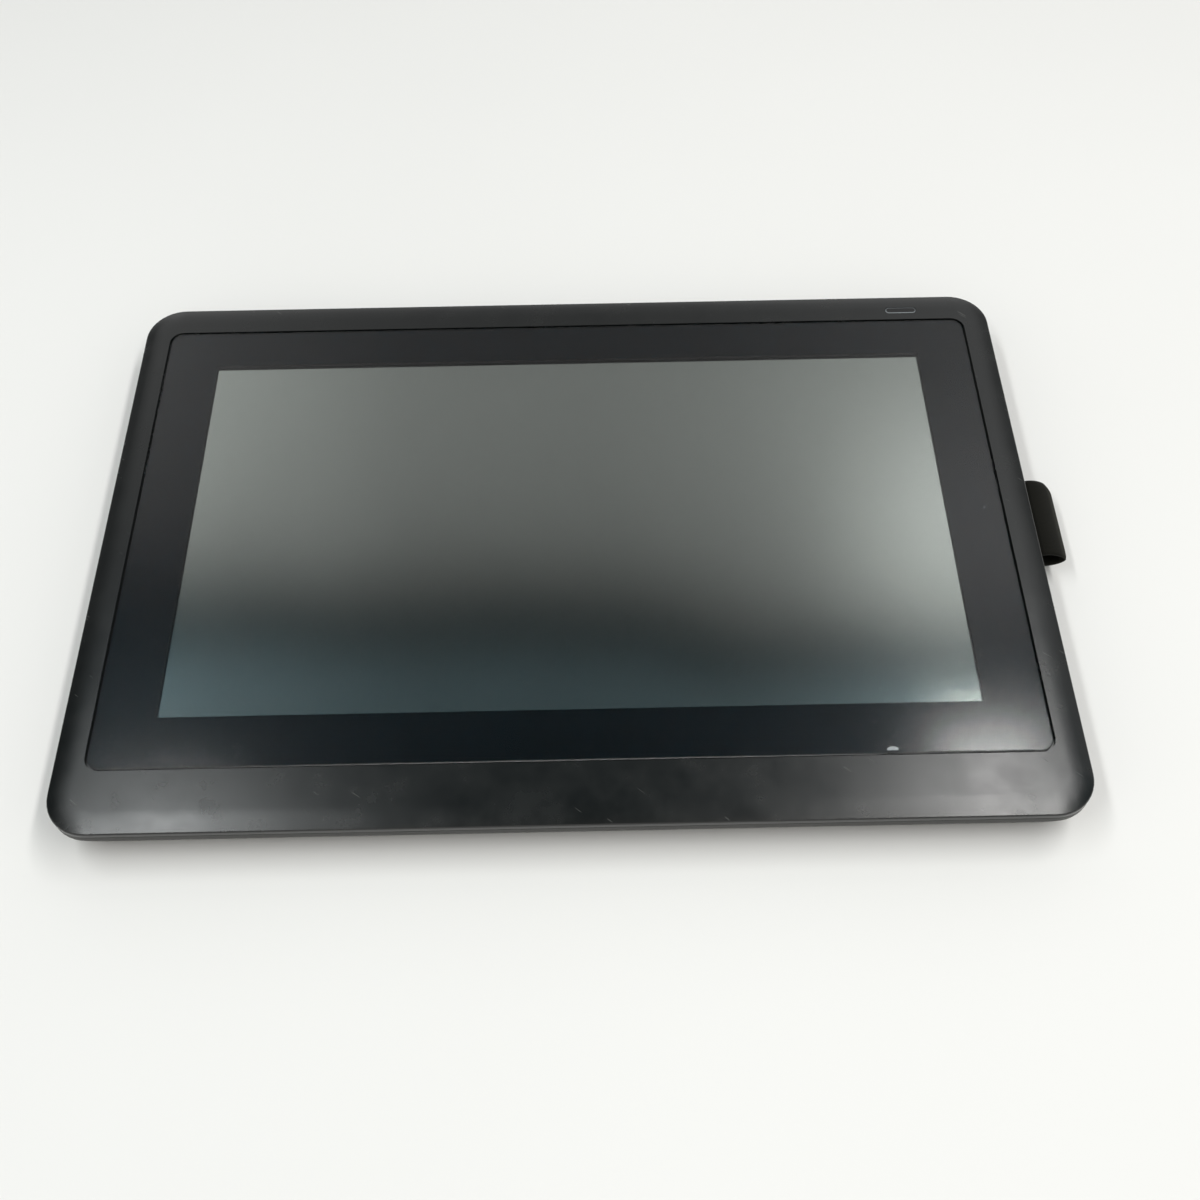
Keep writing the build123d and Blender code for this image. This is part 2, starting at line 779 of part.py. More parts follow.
def screen_module():
    """The screen's own layers: tray with frame, light bar, guide, films, cell, polariser and driver parts."""
    tray = block(-tray_side, tray_side, tray_near, tray_far, tray_bottom, tray_floor)
    wall_near = tray_in_near - frame_wall
    wall_bottom, wall_top = tray_floor - layer_gap, cell_top - tab_thickness
    tray += ring(-tray_side, tray_side, wall_near, tray_far, frame_wall, wall_bottom, wall_top)
    lamp_near = tray_in_near + layer_gap
    lamp_far = lamp_near + light_bar_width
    inner_side, inner_far = tray_in_side - layer_gap, tray_in_far - layer_gap
    guide_near = lamp_far + layer_gap
    half_w, half_d = screen_width / 2, screen_depth / 2
    lit_near, lit_far = screen_y - half_d, screen_y + half_d
    driver_near = tray_near + layer_gap
    tab_pitch = screen_width / driver_tabs
    tab_level = cell_top + tab_thickness
    tab_line = [
        (cell_near + cell_margin, tab_level),
        (wall_near - driver_gap / 2, tab_level),
        (wall_near - driver_gap / 2, driver_top + tab_thickness),
        (driver_near + driver_depth / 2, driver_top + tab_thickness),
    ]
    tab_places = [tab_pitch * (i - (driver_tabs - 1) / 2) for i in range(driver_tabs)]
    tabs = [creased([(x, y, z) for y, z in tab_line], (1, 0, 0), tab_width, tab_thickness) for x in tab_places]
    socket = block(
        panel_cable_place - panel_cable_width / 2 - connector_depth,
        panel_cable_place + panel_cable_width / 2 + connector_depth,
        driver_near,
        driver_near + connector_depth,
        driver_top - layer_gap,
        driver_top + connector_height,
    )
    return {
        "panel_tray": tray,
        "reflector_sheet": block(
            -inner_side, inner_side, guide_near, inner_far, reflector_bottom, reflector_bottom + reflector_thickness
        ),
        "light_bar": block(
            -inner_side, inner_side, lamp_near, lamp_far, reflector_bottom, guide_bottom + guide_thickness
        ),
        "light_guide_plate": block(
            -inner_side, inner_side, guide_near, inner_far, guide_bottom, guide_bottom + guide_thickness
        ),
        "film_stack": block(-inner_side, inner_side, lamp_near, inner_far, film_bottom, film_bottom + film_thickness),
        "lcd_cell": block(-cell_side, cell_side, cell_near, cell_far, cell_bottom, cell_top),
        "front_polariser": block(
            -half_w - polariser_margin,
            half_w + polariser_margin,
            lit_near - polariser_margin,
            lit_far + polariser_margin,
            cell_top + layer_gap / 2,
            panel_top,
        ),
        "panel_gasket": ring(
            -half_w - cell_margin,
            half_w + cell_margin,
            lit_near - cell_margin,
            lit_far + cell_margin,
            gasket_width,
            cell_top + layer_gap,
            print_bottom - layer_gap,
        ),
        "driver_board": block(
            -half_w, half_w, driver_near, driver_near + driver_depth, tray_floor + layer_gap, driver_top
        )
        + socket,
        "driver_tabs": group(tabs),
    }


def sensor_sheets():
    """The pen sensor's board and the shield behind it."""
    side = screen_width / 2 + sensor_overhang
    near, far = screen_y - screen_depth / 2 - sensor_overhang, screen_y + screen_depth / 2 + sensor_overhang
    return {
        "sensor_board": block(-side, side, near, far, sensor_bottom, sensor_bottom + sensor_thickness),
        "sensor_shield": block(-side, side, near, far, shield_bottom, shield_bottom + shield_thickness),
    }


def chassis():
    """Sheet-metal mid plate with folded edges, beads, cable slots and standoffs for the boards."""
    plate = block(-chassis_side, chassis_side, chassis_near, chassis_far, chassis_bottom, chassis_top)
    for y in (chassis_near + chassis_thickness / 2, chassis_far - chassis_thickness / 2):
        plate += block(
            -chassis_side,
            chassis_side,
            y - chassis_thickness / 2,
            y + chassis_thickness / 2,
            chassis_bottom - cable_space + chassis_thickness / 2,
            chassis_bottom,
        )
    bead = chassis_thickness
    for i in range(bead_count):
        y = controller_near - bead_pitch * (i + 1)
        for side in (-1, 1):
            x0, x1 = sorted((side * bead_from, side * (chassis_side - bead_edge_inset)))
            plane = Plane((x0, y, chassis_bottom), x_dir=(0, 1, 0), z_dir=(1, 0, 0))
            plate += extrude(plane * RegularPolygon(bead, post_sides), x1 - x0)
            plate -= block(x0 - over, x1 + over, y - bead - over, y + bead + over, chassis_top, chassis_top + bead)
    plate += [post(x, y, post_radius, main_board_top + layer_gap, chassis_bottom) for x, y in board_screw_places]
    pilot = small_screw_radius + pilot_clearance
    for x, y in board_screw_places:
        plate -= hole(x, y, pilot, main_board_top - over, chassis_top + over)
    for x, y in chassis_post_places:
        plate -= hole(x, y, small_screw_radius + screw_clearance, chassis_bottom - over, chassis_top + over)
    for x, width, y in (
        (panel_cable_place, panel_cable_width, cable_slot_y),
        (0, sensor_cable_width, sensor_tail_y()),
    ):
        half, margin = width / 2 + cable_slot_margin, cable_slot_margin
        plate -= block(x - half, x + half, y - margin, y + margin, chassis_bottom - over, chassis_top + over)
    half = button_cable_width / 2 + cable_slot_margin
    return plate - block(
        light_x - half, light_x + half, chassis_far - chassis_thickness - over, chassis_far + over,
        chassis_bottom - cable_space, chassis_bottom - layer_gap
    )


def sensor_tail_y():
    """Where the sensor's tail turns down through the chassis."""
    return screen_y - screen_depth / 2 - sensor_overhang - cable_reach


def chips(places, x, y, z, up):
    """A group of chip packages on a board: each place gives its offset and size as shares of a chip pitch."""
    bodies = []
    for along, deep, width, depth in places:
        cx, cy = x + along * chip_pitch, y + deep * chip_pitch
        half_w, half_d = width * chip_pitch / 2, depth * chip_pitch / 2
        z0, z1 = sorted((z + up * layer_gap, z + up * (chip_height + layer_gap)))
        bodies.append(block(cx - half_w, cx + half_w, cy - half_d, cy + half_d, z0, z1))
    return group(bodies)


def screw_holes(places, z0, z1):
    """Clearance holes for the small screws."""
    return [hole(x, y, small_screw_radius + screw_clearance, z0 - over, z1 + over) for x, y in places]


def cable_socket_block(x, y0, y1, width):
    """A connector on a board's upper face."""
    half = width / 2 + connector_depth / 2
    return block(x - half, x + half, y0, y1, main_board_top - layer_gap, main_board_top + connector_height)


def boards():
    """Main board and pen controller, each with its connectors, packages and screen can."""
    low, high = main_board_bottom, main_board_top
    main_half = main_board_width / 2
    main = block(-main_half, main_half, main_board_near, main_board_far, low, high)
    main += cable_socket_block(
        panel_cable_place, main_board_near + layer_gap, main_board_near + connector_depth, panel_cable_width
    )
    button_y = main_board_far - button_cable_far
    main += block(
        main_half - connector_depth,
        main_half - layer_gap,
        button_y - connector_depth,
        button_y + connector_depth,
        main_board_top - layer_gap,
        main_board_top + connector_height,
    )
    main -= screw_holes(main_board_screw_places, low, high)
    half = controller_width / 2
    control = block(-half, half, controller_near, controller_far, low, high)
    control += cable_socket_block(0, controller_near + layer_gap, controller_near + connector_depth, sensor_cable_width)
    control -= screw_holes(controller_screw_places, low, high)
    middle = (main_board_near + main_board_far) / 2
    can = ring(
        -can_width / 2, can_width / 2, middle - can_depth / 2, middle + can_depth / 2, shield_thickness,
        high + layer_gap, high + can_height
    )
    can += block(
        -can_width / 2, can_width / 2, middle - can_depth / 2, middle + can_depth / 2,
        high + can_height - shield_thickness, high + can_height
    )
    return {
        "main_board": main,
        "main_board_shield": can,
        "main_board_chips": chips(main_chip_shares, 0, middle, low, -1),
        "controller_board": control,
        "controller_chips": chips(controller_chip_shares, 0, (controller_near + controller_far) / 2, low, -1),
    }


def cables():
    """The three flat cables between the boards."""
    entry = connector_depth / 2
    drive_level = driver_top + connector_height / 2
    panel = [
        (tray_near + layer_gap - cable_fold / 4, drive_level),
        (cable_slot_y, drive_level),
        (cable_slot_y, under_chassis),
        (main_board_near - cable_step, under_chassis),
        (main_board_near - cable_step, connector_level),
        (main_board_near, connector_level),
    ]
    tail = sensor_tail_y()
    sensor_edge = screen_y - screen_depth / 2 - sensor_overhang - layer_gap
    sensor_level = sensor_bottom + sensor_thickness / 2
    sensor = [
        (sensor_edge, sensor_level),
        (tail, sensor_level),
        (tail, under_chassis),
        (controller_near - cable_step, under_chassis),
        (controller_near - cable_step, connector_level),
        (controller_near, connector_level),
    ]
    bend_y = main_board_far - button_cable_far
    half = button_cable_width / 2
    first = [
        (light_x, key_board_near - layer_gap, key_board_bottom + board_thickness / 2),
        (light_x, key_board_near - cable_reach, key_board_bottom + board_thickness / 2),
        (light_x, key_board_near - cable_reach, under_chassis),
        (light_x, bend_y - half, under_chassis),
    ]
    main_half = main_board_width / 2
    second = [
        (light_x + half, bend_y, under_chassis),
        (main_half + cable_step, bend_y, under_chassis),
        (main_half + cable_step, bend_y, connector_level),
        (main_half, bend_y, connector_level),
    ]
    panel_line = [(panel_cable_place, y, z) for y, z in panel]
    sensor_line = [(0, y, z) for y, z in sensor]
    down_leg = creased(first, (1, 0, 0), button_cable_width, cable_thickness)
    side_leg = creased(second, (0, 1, 0), button_cable_width, cable_thickness)
    return {
        "panel_cable": creased(panel_line, (1, 0, 0), panel_cable_width, cable_thickness),
        "sensor_cable": creased(sensor_line, (1, 0, 0), sensor_cable_width, cable_thickness),
        "button_cable": down_leg + side_leg,
    }


def key_and_light():
    """Power key, its switch board and the status light's guide."""
    key = slot_bar(key_width, key_height, light_x, key_flange_near, far_edge + key_proud, key_level)
    face = key.faces().sort_by(Axis.Y)[-1]
    key = chamfer(face.outer_wire().edges(), key_round)
    flange_w, flange_h = key_width / 2 + key_flange, key_height / 2 + key_flange
    key += block(
        light_x - flange_w, light_x + flange_w, key_flange_near, key_flange_far, key_level - flange_h,
        key_level + flange_h,
    )
    half = key_board_width / 2
    board = block(light_x - half, light_x + half, key_board_near, key_board_far, key_board_bottom, key_board_top)
    board -= screw_holes(key_screw_places, key_board_bottom, key_board_top)
    switch = block(
        light_x - switch_width / 2,
        light_x + switch_width / 2,
        switch_far - switch_depth,
        switch_far,
        key_board_top + layer_gap,
        key_board_top + switch_height,
    )
    lamp = Pos(light_x, light_y - light_width / 2, key_board_top + layer_gap + led_height / 2)
    lamp *= Box(led_size, led_size, led_height)
    root = Plane((light_x, light_y, skin_bottom - light_flange))
    guide = extrude(root * SlotOverall(light_length, light_width), bezel_skin + light_flange)
    guide = chamfer(guide.faces().sort_by(Axis.Z)[-1].outer_wire().edges(), light_clearance)
    flange = Rectangle(light_length + 2 * light_flange, light_width + 2 * light_flange)
    guide += extrude(root * flange, light_flange - layer_gap)
    stem_bottom = key_board_top + layer_gap + led_height + light_gap
    stem_top = skin_bottom - layer_gap
    guide += post(light_x, light_y - light_width / 2, light_stem / 2, stem_bottom, stem_top, bore_sides)
    return {
        "power_button": key,
        "key_board": board,
        "key_board_parts": group([switch, lamp]),
        "status_light": guide,
    }


def cable_socket():
    """Metal shell of the inlet with its contact tongue, set in the bay's end wall."""
    y0, y1 = bay_near - port_length, bay_near - port_setback
    shell = slot_bar(port_width, port_height, 0, y0, y1, port_level)
    shell -= slot_bar(
        port_width - 2 * port_wall, port_height - 2 * port_wall, 0, y0 + port_wall, y1 + over, port_level
    )
    half = port_width / 2 - port_height / 2
    return shell + block(
        -half,
        half,
        y0 + port_wall / 2,
        y1 - port_setback * 2,
        port_level - tongue_plate_height / 2,
        port_level + tongue_plate_height / 2,
    )


def loop_socket(side):
    """Sleeve behind a side slot that holds the pen loop's clip."""
    x0 = wall_at_loop - socket_depth
    wall = clip_slot_half + socket_wall
    half = clip_width / 2 + clip_clearance + socket_wall
    sleeve = block(x0, half_width, loop_place - half, loop_place + half, loop_level - wall, loop_level + wall)
    sleeve &= tapered(cover_wall + layer_gap, floor_top, taper_top)
    sleeve -= clip_slot(x0 + socket_wall, half_width)
    return sleeve if side > 0 else mirror(sleeve, about=Plane.YZ)


def pen_loop():
    """Cloth band folded to an almond section, and the flat plastic clip that it's stitched to."""
    x0, x1 = wall_at_loop + loop_neck, loop_tip_x
    crown_x = x0 + (x1 - x0) * loop_crown_share
    root, crown, fold = loop_root_height / 2, loop_crown_height / 2, loop_fold_height / 2
    plane = Plane((0, loop_place - loop_length / 2, loop_level), x_dir=(1, 0, 0), z_dir=(0, -1, 0))

    def almond(x_a, half_a, half_m, x_b, half_b):
        upper = ThreePointArc((x_a, half_a), (crown_x, half_m), (x_b, half_b))
        lower = ThreePointArc((x_b, -half_b), (crown_x, -half_m), (x_a, -half_a))
        return make_face(upper + Line((x_b, half_b), (x_b, -half_b)) + lower + Line((x_a, -half_a), (x_a, half_a)))

    outer = almond(x0, root, crown, x1, fold)
    hollow = almond(
        x0 + loop_seam + loop_fabric, loop_fabric / 4, crown - loop_fabric, x1 - loop_seam - loop_fabric, loop_fabric / 4
    )
    band = extrude(plane * (outer - hollow), -loop_length)
    band += block(
        clip_outer_x + layer_gap, x0 + layer_gap, loop_place - loop_length / 2, loop_place + loop_length / 2,
        loop_level - root, loop_level + root
    )
    half = clip_width / 2
    clip = slab(
        clip_depth,
        clip_width,
        clip_corner,
        loop_level - clip_thickness / 2,
        loop_level + clip_thickness / 2,
        (clip_inner_x + clip_outer_x) / 2,
        loop_place,
    )
    clip += block(
        clip_outer_x - clip_corner, clip_outer_x, loop_place - half, loop_place + half,
        loop_level - clip_thickness / 2, loop_level + clip_thickness / 2
    )
    for side in (-1, 1):
        y = loop_place + side * (half - clip_notch / 2)
        clip -= peg((clip_inner_x + clip_outer_x) / 2, y + side * clip_notch, clip_notch, 0, body_top)
        z = loop_level + side * clip_thickness / 2
        clip -= block(
            clip_inner_x + clip_corner, clip_outer_x - clip_corner, loop_place - half / 2, loop_place + half / 2,
            z - clip_notch / 2, z + clip_notch / 2
        )
    return {"pen_loop_band": band, "pen_loop_clip": clip}


def lock_plate():
    """Steel plate behind the security slot."""
    x0 = -lock_face + cover_wall + layer_gap
    plate = block(
        x0,
        x0 + lock_plate_thickness,
        lock_place - lock_plate_width / 2,
        lock_place + lock_plate_width / 2,
        loop_level - lock_plate_height / 2,
        loop_level + lock_plate_height / 2,
    )
    return plate - lock_slot(x0 - over, x0 + lock_plate_thickness + over)


def screws():
    """Every screw set, one node for each."""
    small = (small_screw_radius, small_head_radius, small_head_height)

    def small_set(places, seat, grip):
        return group([screw(x, y, seat, small[0], grip, small[1], small[2]) for x, y in places])

    seat = cover_bottom + counterbore_depth
    grip = boss_joint_height - seat + screw_grip
    return {
        "cover_screws": group(
            [
                screw(x, y, seat - layer_gap, screw_radius, grip, screw_head_radius, screw_head_height)
                for x, y in housing_boss_places
            ]
        ),
        "chassis_screws": small_set(chassis_post_places, chassis_bottom - layer_gap, chassis_thickness + small_grip),
        "board_screws": small_set(board_screw_places, main_board_bottom - layer_gap, board_thickness + small_grip),
        "key_board_screws": small_set(key_screw_places, key_board_bottom - layer_gap, board_thickness + small_grip),
    }


def feet():
    """Rubber strips in the housing's foot seats."""
    solids = foot_seats(0, 0, cover_bottom + foot_seat - layer_gap)
    return {
        name: chamfer(foot.faces().sort_by(Axis.Z)[0].outer_wire().edges(), foot_round) for name, foot in solids.items()
    }


def nib_places():
    """Where the spare nibs lie in their holder."""
    row = [leg_place - holder_width / 2 + nib_pitch * (i + 1) for i in range(nib_count)]
    return [(x, hinge_y - holder_place) for x in row]


def nib_set():
    """Holder with grooves, the spare nibs and the ring that pulls a worn nib."""
    y = hinge_y - holder_place
    holder = slab(holder_width, holder_depth, nib_pitch / 2, well_roof, well_roof + holder_height, leg_place, y)
    ring_x, ring_y = leg_place, y + holder_depth / 2 - puller_radius - nib_pitch / 2
    level = well_roof + nib_radius + nib_slot_clearance
    nib_y = y - holder_depth / 2 + nib_length / 2 + nib_pitch / 4
    nibs = []
    for x, _ in nib_places():
        r = nib_radius + nib_slot_clearance
        holder -= block(
            x - r, x + r, nib_y - nib_length / 2 - r, nib_y + nib_length / 2 + r, well_roof - over, level + r
        )
        plane = Plane((x, nib_y - nib_length / 2, level), z_dir=(0, 1, 0))
        nibs.append(extrude(plane * RegularPolygon(nib_radius, post_sides), nib_length))
    reach = puller_radius + nib_slot_clearance
    holder -= hole(
        ring_x, ring_y, reach, well_roof - over, well_roof + puller_height + nib_slot_clearance, ring_sides
    )
    puller = post(ring_x, ring_y, puller_radius, well_roof + layer_gap, well_roof + puller_height, ring_sides)
    puller -= hole(ring_x, ring_y, puller_hole_radius, well_roof - over, well_roof + puller_height + over, bore_sides)
    return {"nib_holder": holder, "spare_nibs": group(nibs), "nib_puller": puller}


def leg(side):
    """Fold-out leg: ribbed shell with a round barrel, its rubber pad, hinge pins and friction spring."""
    x = side * leg_place
    half = leg_width / 2
    plate_near, plate_far = leg_tip, hinge_y + leg_corner
    middle, depth = (plate_near + plate_far) / 2, plate_far - plate_near
    body = slab(leg_width, depth, leg_corner, leg_bottom, leg_top, x, middle)
    body -= block(x - leg_width, x + leg_width, hinge_y, plate_far + over, leg_bottom - over, leg_top + over)
    pocket_far = hinge_y - barrel_radius - leg_side_wall
    pocket_near = leg_tip + leg_pad_length + leg_side_wall
    pocket_half = half - leg_side_wall
    body -= block(x - pocket_half, x + pocket_half, pocket_near, pocket_far, leg_bottom + leg_skin, leg_top + over)
    rib_top = leg_top - leg_rib_drop
    low = leg_bottom + leg_skin - layer_gap
    step = 2 * pocket_half / (leg_rib_count + 1)
    for i in range(leg_rib_count):
        rx = x - pocket_half + step * (i + 1)
        body += block(
            rx - rib_thickness / 2, rx + rib_thickness / 2, pocket_near - layer_gap, pocket_far + layer_gap, low, rib_top
        )
    cross = (pocket_far - pocket_near) / (leg_rib_count + 1)
    for i in range(leg_rib_count):
        ry = pocket_near + cross * (i + 1)
        body += block(
            x - pocket_half - layer_gap, x + pocket_half + layer_gap, ry - rib_thickness / 2, ry + rib_thickness / 2,
            low, rib_top
        )
    body += rod(x - half, x + half, hinge_y, hinge_level, barrel_radius)
    groove_level = leg_bottom + leg_thickness / 2
    body -= block(
        x - finger_width / 2,
        x + finger_width / 2,
        leg_tip - over,
        leg_tip + pull_groove_depth,
        groove_level - pull_groove_height / 2,
        groove_level + pull_groove_height / 2,
    )
    pad_half = half - leg_corner - leg_side_wall
    seat_near = leg_tip + leg_side_wall
    pad = cut_corners(
        2 * pad_half,
        leg_pad_length,
        pad_corner,
        leg_bottom - pad_proud,
        leg_bottom + pad_seat - layer_gap,
        x,
        seat_near + leg_pad_length / 2,
    )
    body -= cut_corners(
        2 * pad_half + 2 * layer_gap,
        leg_pad_length + 2 * layer_gap,
        pad_corner,
        leg_bottom - over,
        leg_bottom + pad_seat,
        x,
        seat_near + leg_pad_length / 2,
    )
    grip = half - hinge_pin_grip
    for hand in (-1, 1):
        body -= rod(*sorted((x + hand * grip, x + hand * (half + over))), hinge_y, hinge_level, hinge_pin_radius + pilot_clearance)
    pins = group(
        [
            rod(
                *sorted((x + hand * (grip + layer_gap), x + hand * (pin_end - layer_gap))),
                hinge_y,
                hinge_level,
                hinge_pin_radius,
            )
            for hand in (-1, 1)
        ]
    )
    return {"leg": body, "leg_pad": pad, "hinge_pins": pins, "leg_spring": leg_spring(x)}


def leg_spring(x):
    """Thin arched leaf between the well's roof and the barrel, which holds the leg where it's put."""
    top, low = well_roof - layer_gap, leg_top + spring_clearance
    half = spring_span / 2
    upper = ThreePointArc((hinge_y - half, top), (hinge_y, low + spring_thickness), (hinge_y + spring_far(), top))
    lower = ThreePointArc(
        (hinge_y + spring_far(), top - spring_thickness), (hinge_y, low), (hinge_y - half, top - spring_thickness)
    )
    ends = [
        Line((hinge_y + spring_far(), top), (hinge_y + spring_far(), top - spring_thickness)),
        Line((hinge_y - half, top - spring_thickness), (hinge_y - half, top)),
    ]
    plane = Plane((x - spring_length / 2, 0, 0), x_dir=(0, 1, 0), z_dir=(1, 0, 0))
    return extrude(plane * make_face(upper + ends[0] + lower + ends[1]), spring_length)


def spring_far():
    """How far the leaf runs past the barrel's middle."""
    return min(spring_span / 2, well_far - hinge_y - layer_gap)


def write(name, shape):
    """Writes one node in the part's frame."""
    export_step(Pos(frame_shift, 0, 0) * shape, f"parts/{name}.step")


def build():
    """Makes every node and writes its file."""
    os.makedirs("parts", exist_ok=True)
    nodes = {
        "back_cover": back_cover(),
        "front_bezel": front_bezel(),
        "cover_glass": cover_glass(),
        "border_print": border_print(),
        "glass_tape": glass_tape(),
        "chassis": chassis(),
        "cable_socket": cable_socket(),
        "lock_plate": lock_plate(),
        "loop_socket_left": loop_socket(-1),
        "loop_socket_right": loop_socket(1),
    }
    for family in (screen_module, sensor_sheets, boards, cables, key_and_light, pen_loop, screws, feet, nib_set):
        nodes.update(family())
    for hand, side in (("left", -1), ("right", 1)):
        nodes.update({f"{hand}_{name}": shape for name, shape in leg(side).items()})
    for name, shape in nodes.items():
        write(name, shape)
    print("nodes", len(nodes), "size", body_width + loop_reach, body_depth, body_top)


build()
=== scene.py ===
import bmesh
import bpy
import math
from mathutils import Matrix, Vector


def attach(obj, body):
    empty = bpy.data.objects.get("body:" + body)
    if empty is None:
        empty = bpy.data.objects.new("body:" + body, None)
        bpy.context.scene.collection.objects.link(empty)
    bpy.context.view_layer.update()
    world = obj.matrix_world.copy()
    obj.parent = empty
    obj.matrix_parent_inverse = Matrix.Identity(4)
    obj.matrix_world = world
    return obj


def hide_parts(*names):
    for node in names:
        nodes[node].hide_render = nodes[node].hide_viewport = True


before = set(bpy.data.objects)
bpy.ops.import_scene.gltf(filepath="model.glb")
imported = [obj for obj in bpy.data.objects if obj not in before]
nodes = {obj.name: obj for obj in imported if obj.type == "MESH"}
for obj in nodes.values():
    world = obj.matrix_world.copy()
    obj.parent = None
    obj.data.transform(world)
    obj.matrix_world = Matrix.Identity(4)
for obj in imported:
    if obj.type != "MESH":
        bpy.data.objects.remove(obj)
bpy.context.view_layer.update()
mm = 0.001


# Table top and studio.
# The object lies on a broad sheet of warm white card. Two long ceiling lights hang over its left and
# right sides, and the air straight over its middle is dark.


def linear(code):
    """An sRGB hex colour as linear red, green, blue and alpha."""
    parts = [int(code[i : i + 2], 16) / 255 for i in (1, 3, 5)]
    return [v / 12.92 if v <= 0.04045 else ((v + 0.055) / 1.055) ** 2.4 for v in parts] + [1.0]


def add(tree, kind, settings=(), links=()):
    """Adds one shader node: settings are its properties or its sockets' values, links feed its sockets."""
    made = tree.nodes.new(kind)
    for name, value in dict(settings).items():
        if isinstance(name, str) and hasattr(made, name):
            setattr(made, name, value)
        elif name == "stops":
            stops = made.color_ramp.elements
            for at, _ in value[2:]:
                stops.new(at)
            for stop, (at, _) in zip(sorted(stops, key=lambda s: s.position), sorted(value)):
                stop.position = at
            for stop, (_, colour) in zip(sorted(stops, key=lambda s: s.position), sorted(value)):
                stop.color = colour
        else:
            made.inputs[name].default_value = value
    for name, source in dict(links).items():
        tree.links.new(source, made.inputs[name])
    return made


def finish(name, **sockets):
    """A new material with one Principled shader, its sockets set by their names."""
    made = bpy.data.materials.new(name)
    made.use_nodes = True
    shader = made.node_tree.nodes["Principled BSDF"]
    for socket, value in sockets.items():
        shader.inputs[socket.replace("_", " ")].default_value = value
    return made, made.node_tree, shader


def piece(name, bm, made, body=None):
    """Turns a bmesh into a finished piece, which rides on the named body if there is one."""
    bmesh.ops.recalc_face_normals(bm, faces=bm.faces)
    mesh = bpy.data.meshes.new(name)
    bm.to_mesh(mesh)
    bm.free()
    mesh.materials.append(made)
    thing = bpy.data.objects.new(name, mesh)
    bpy.context.scene.collection.objects.link(thing)
    if body:
        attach(thing, body)
    return thing


scene = bpy.context.scene
scene.view_settings.view_transform = "Standard"

# Card: matt, with a faint cloudiness in its white.
white_card, tree, shader = finish("white_card", Roughness=0.8)
place = add(tree, "ShaderNodeTexCoord")
cloud = add(tree, "ShaderNodeTexNoise", {"Scale": 1.6, "Detail": 3.0}, {"Vector": place.outputs["Object"]})
tone = add(
    tree,
    "ShaderNodeValToRGB",
    {"stops": [(0.3, linear("#e3e3e1")), (0.7, linear("#e7e7e5"))]},
    {"Fac": cloud.outputs[0]},
)
tree.links.new(tone.outputs["Color"], shader.inputs["Base Color"])
# Past the lamps' reach the card stays as pale as it is round the object.
out = add(tree, "ShaderNodeVectorMath", {"operation": "LENGTH"}, {0: place.outputs["Object"]})
far_off = add(
    tree,
    "ShaderNodeMapRange",
    {"From Min": 0.75, "From Max": 2.4, "interpolation_type": "SMOOTHERSTEP"},
    {"Value": out.outputs["Value"]},
)
sight = add(tree, "ShaderNodeLightPath")
seen = add(
    tree,
    "ShaderNodeMath",
    {"operation": "MAXIMUM"},
    {0: sight.outputs["Is Camera Ray"], 1: sight.outputs["Is Glossy Ray"]},
)
shown = add(
    tree, "ShaderNodeMath", {"operation": "MAXIMUM"}, {0: seen.outputs[0], 1: sight.outputs["Is Transmission Ray"]}
)
pale = add(tree, "ShaderNodeMath", {"operation": "MULTIPLY"}, {0: far_off.outputs[0], 1: shown.outputs[0]})
haze = add(tree, "ShaderNodeEmission", {"Color": [0.88, 0.88, 0.87, 1.0]})
both = add(
    tree, "ShaderNodeMixShader", (), {0: pale.outputs[0], 1: shader.outputs["BSDF"], 2: haze.outputs["Emission"]}
)
tree.links.new(both.outputs[0], tree.nodes["Material Output"].inputs["Surface"])
bm = bmesh.new()
bmesh.ops.create_grid(bm, x_segments=1, y_segments=1, size=12)
# The card lies 0.02 mm below the feet, so that no two faces share a plane.
bmesh.ops.translate(bm, vec=(0, 0, -0.02 * mm), verts=bm.verts)
table_top = piece("table_top", bm, white_card)

# The air round the table: pale all round the horizon, a wall at the far side whose upper edge slopes
# a little, brighter towards its two ends, a dark teal ceiling over it, and dim air overhead in front.
world = bpy.data.worlds.new("studio_air")
scene.world = world
world.use_nodes = True
tree = world.node_tree
tree.nodes.clear()
place = add(tree, "ShaderNodeTexCoord")
way = add(tree, "ShaderNodeSeparateXYZ", (), {"Vector": place.outputs["Generated"]})


def grey(level, tint=(1, 1, 1)):
    """A linear colour of this brightness, tinted by three factors."""
    return [level * t for t in tint] + [1.0]


teal, slate, cream = (0.48, 1.0, 1.20), (0.66, 1.0, 1.18), (1.05, 1, 0.9)
# How steeply each direction rises towards the far side, a little uneven, and less to the right.
depth = add(tree, "ShaderNodeMath", {"operation": "MAXIMUM", 1: 0.05}, {0: way.outputs["Y"]})
rise = add(tree, "ShaderNodeMath", {"operation": "DIVIDE"}, {0: way.outputs["Z"], 1: depth.outputs[0]})
uneven = add(tree, "ShaderNodeTexNoise", {"Scale": 7.0, "Detail": 1.0}, {"Vector": place.outputs["Generated"]})
wavy = add(
    tree, "ShaderNodeMath", {"operation": "MULTIPLY_ADD", 1: 0.14}, {0: uneven.outputs[0], 2: rise.outputs[0]}
)
sloped = add(
    tree, "ShaderNodeMath", {"operation": "MULTIPLY_ADD", 1: -0.30}, {0: way.outputs["X"], 2: wavy.outputs[0]}
)
third = add(tree, "ShaderNodeMath", {"operation": "MULTIPLY_ADD", 1: 1 / 3, 2: -0.023}, {0: sloped.outputs[0]})
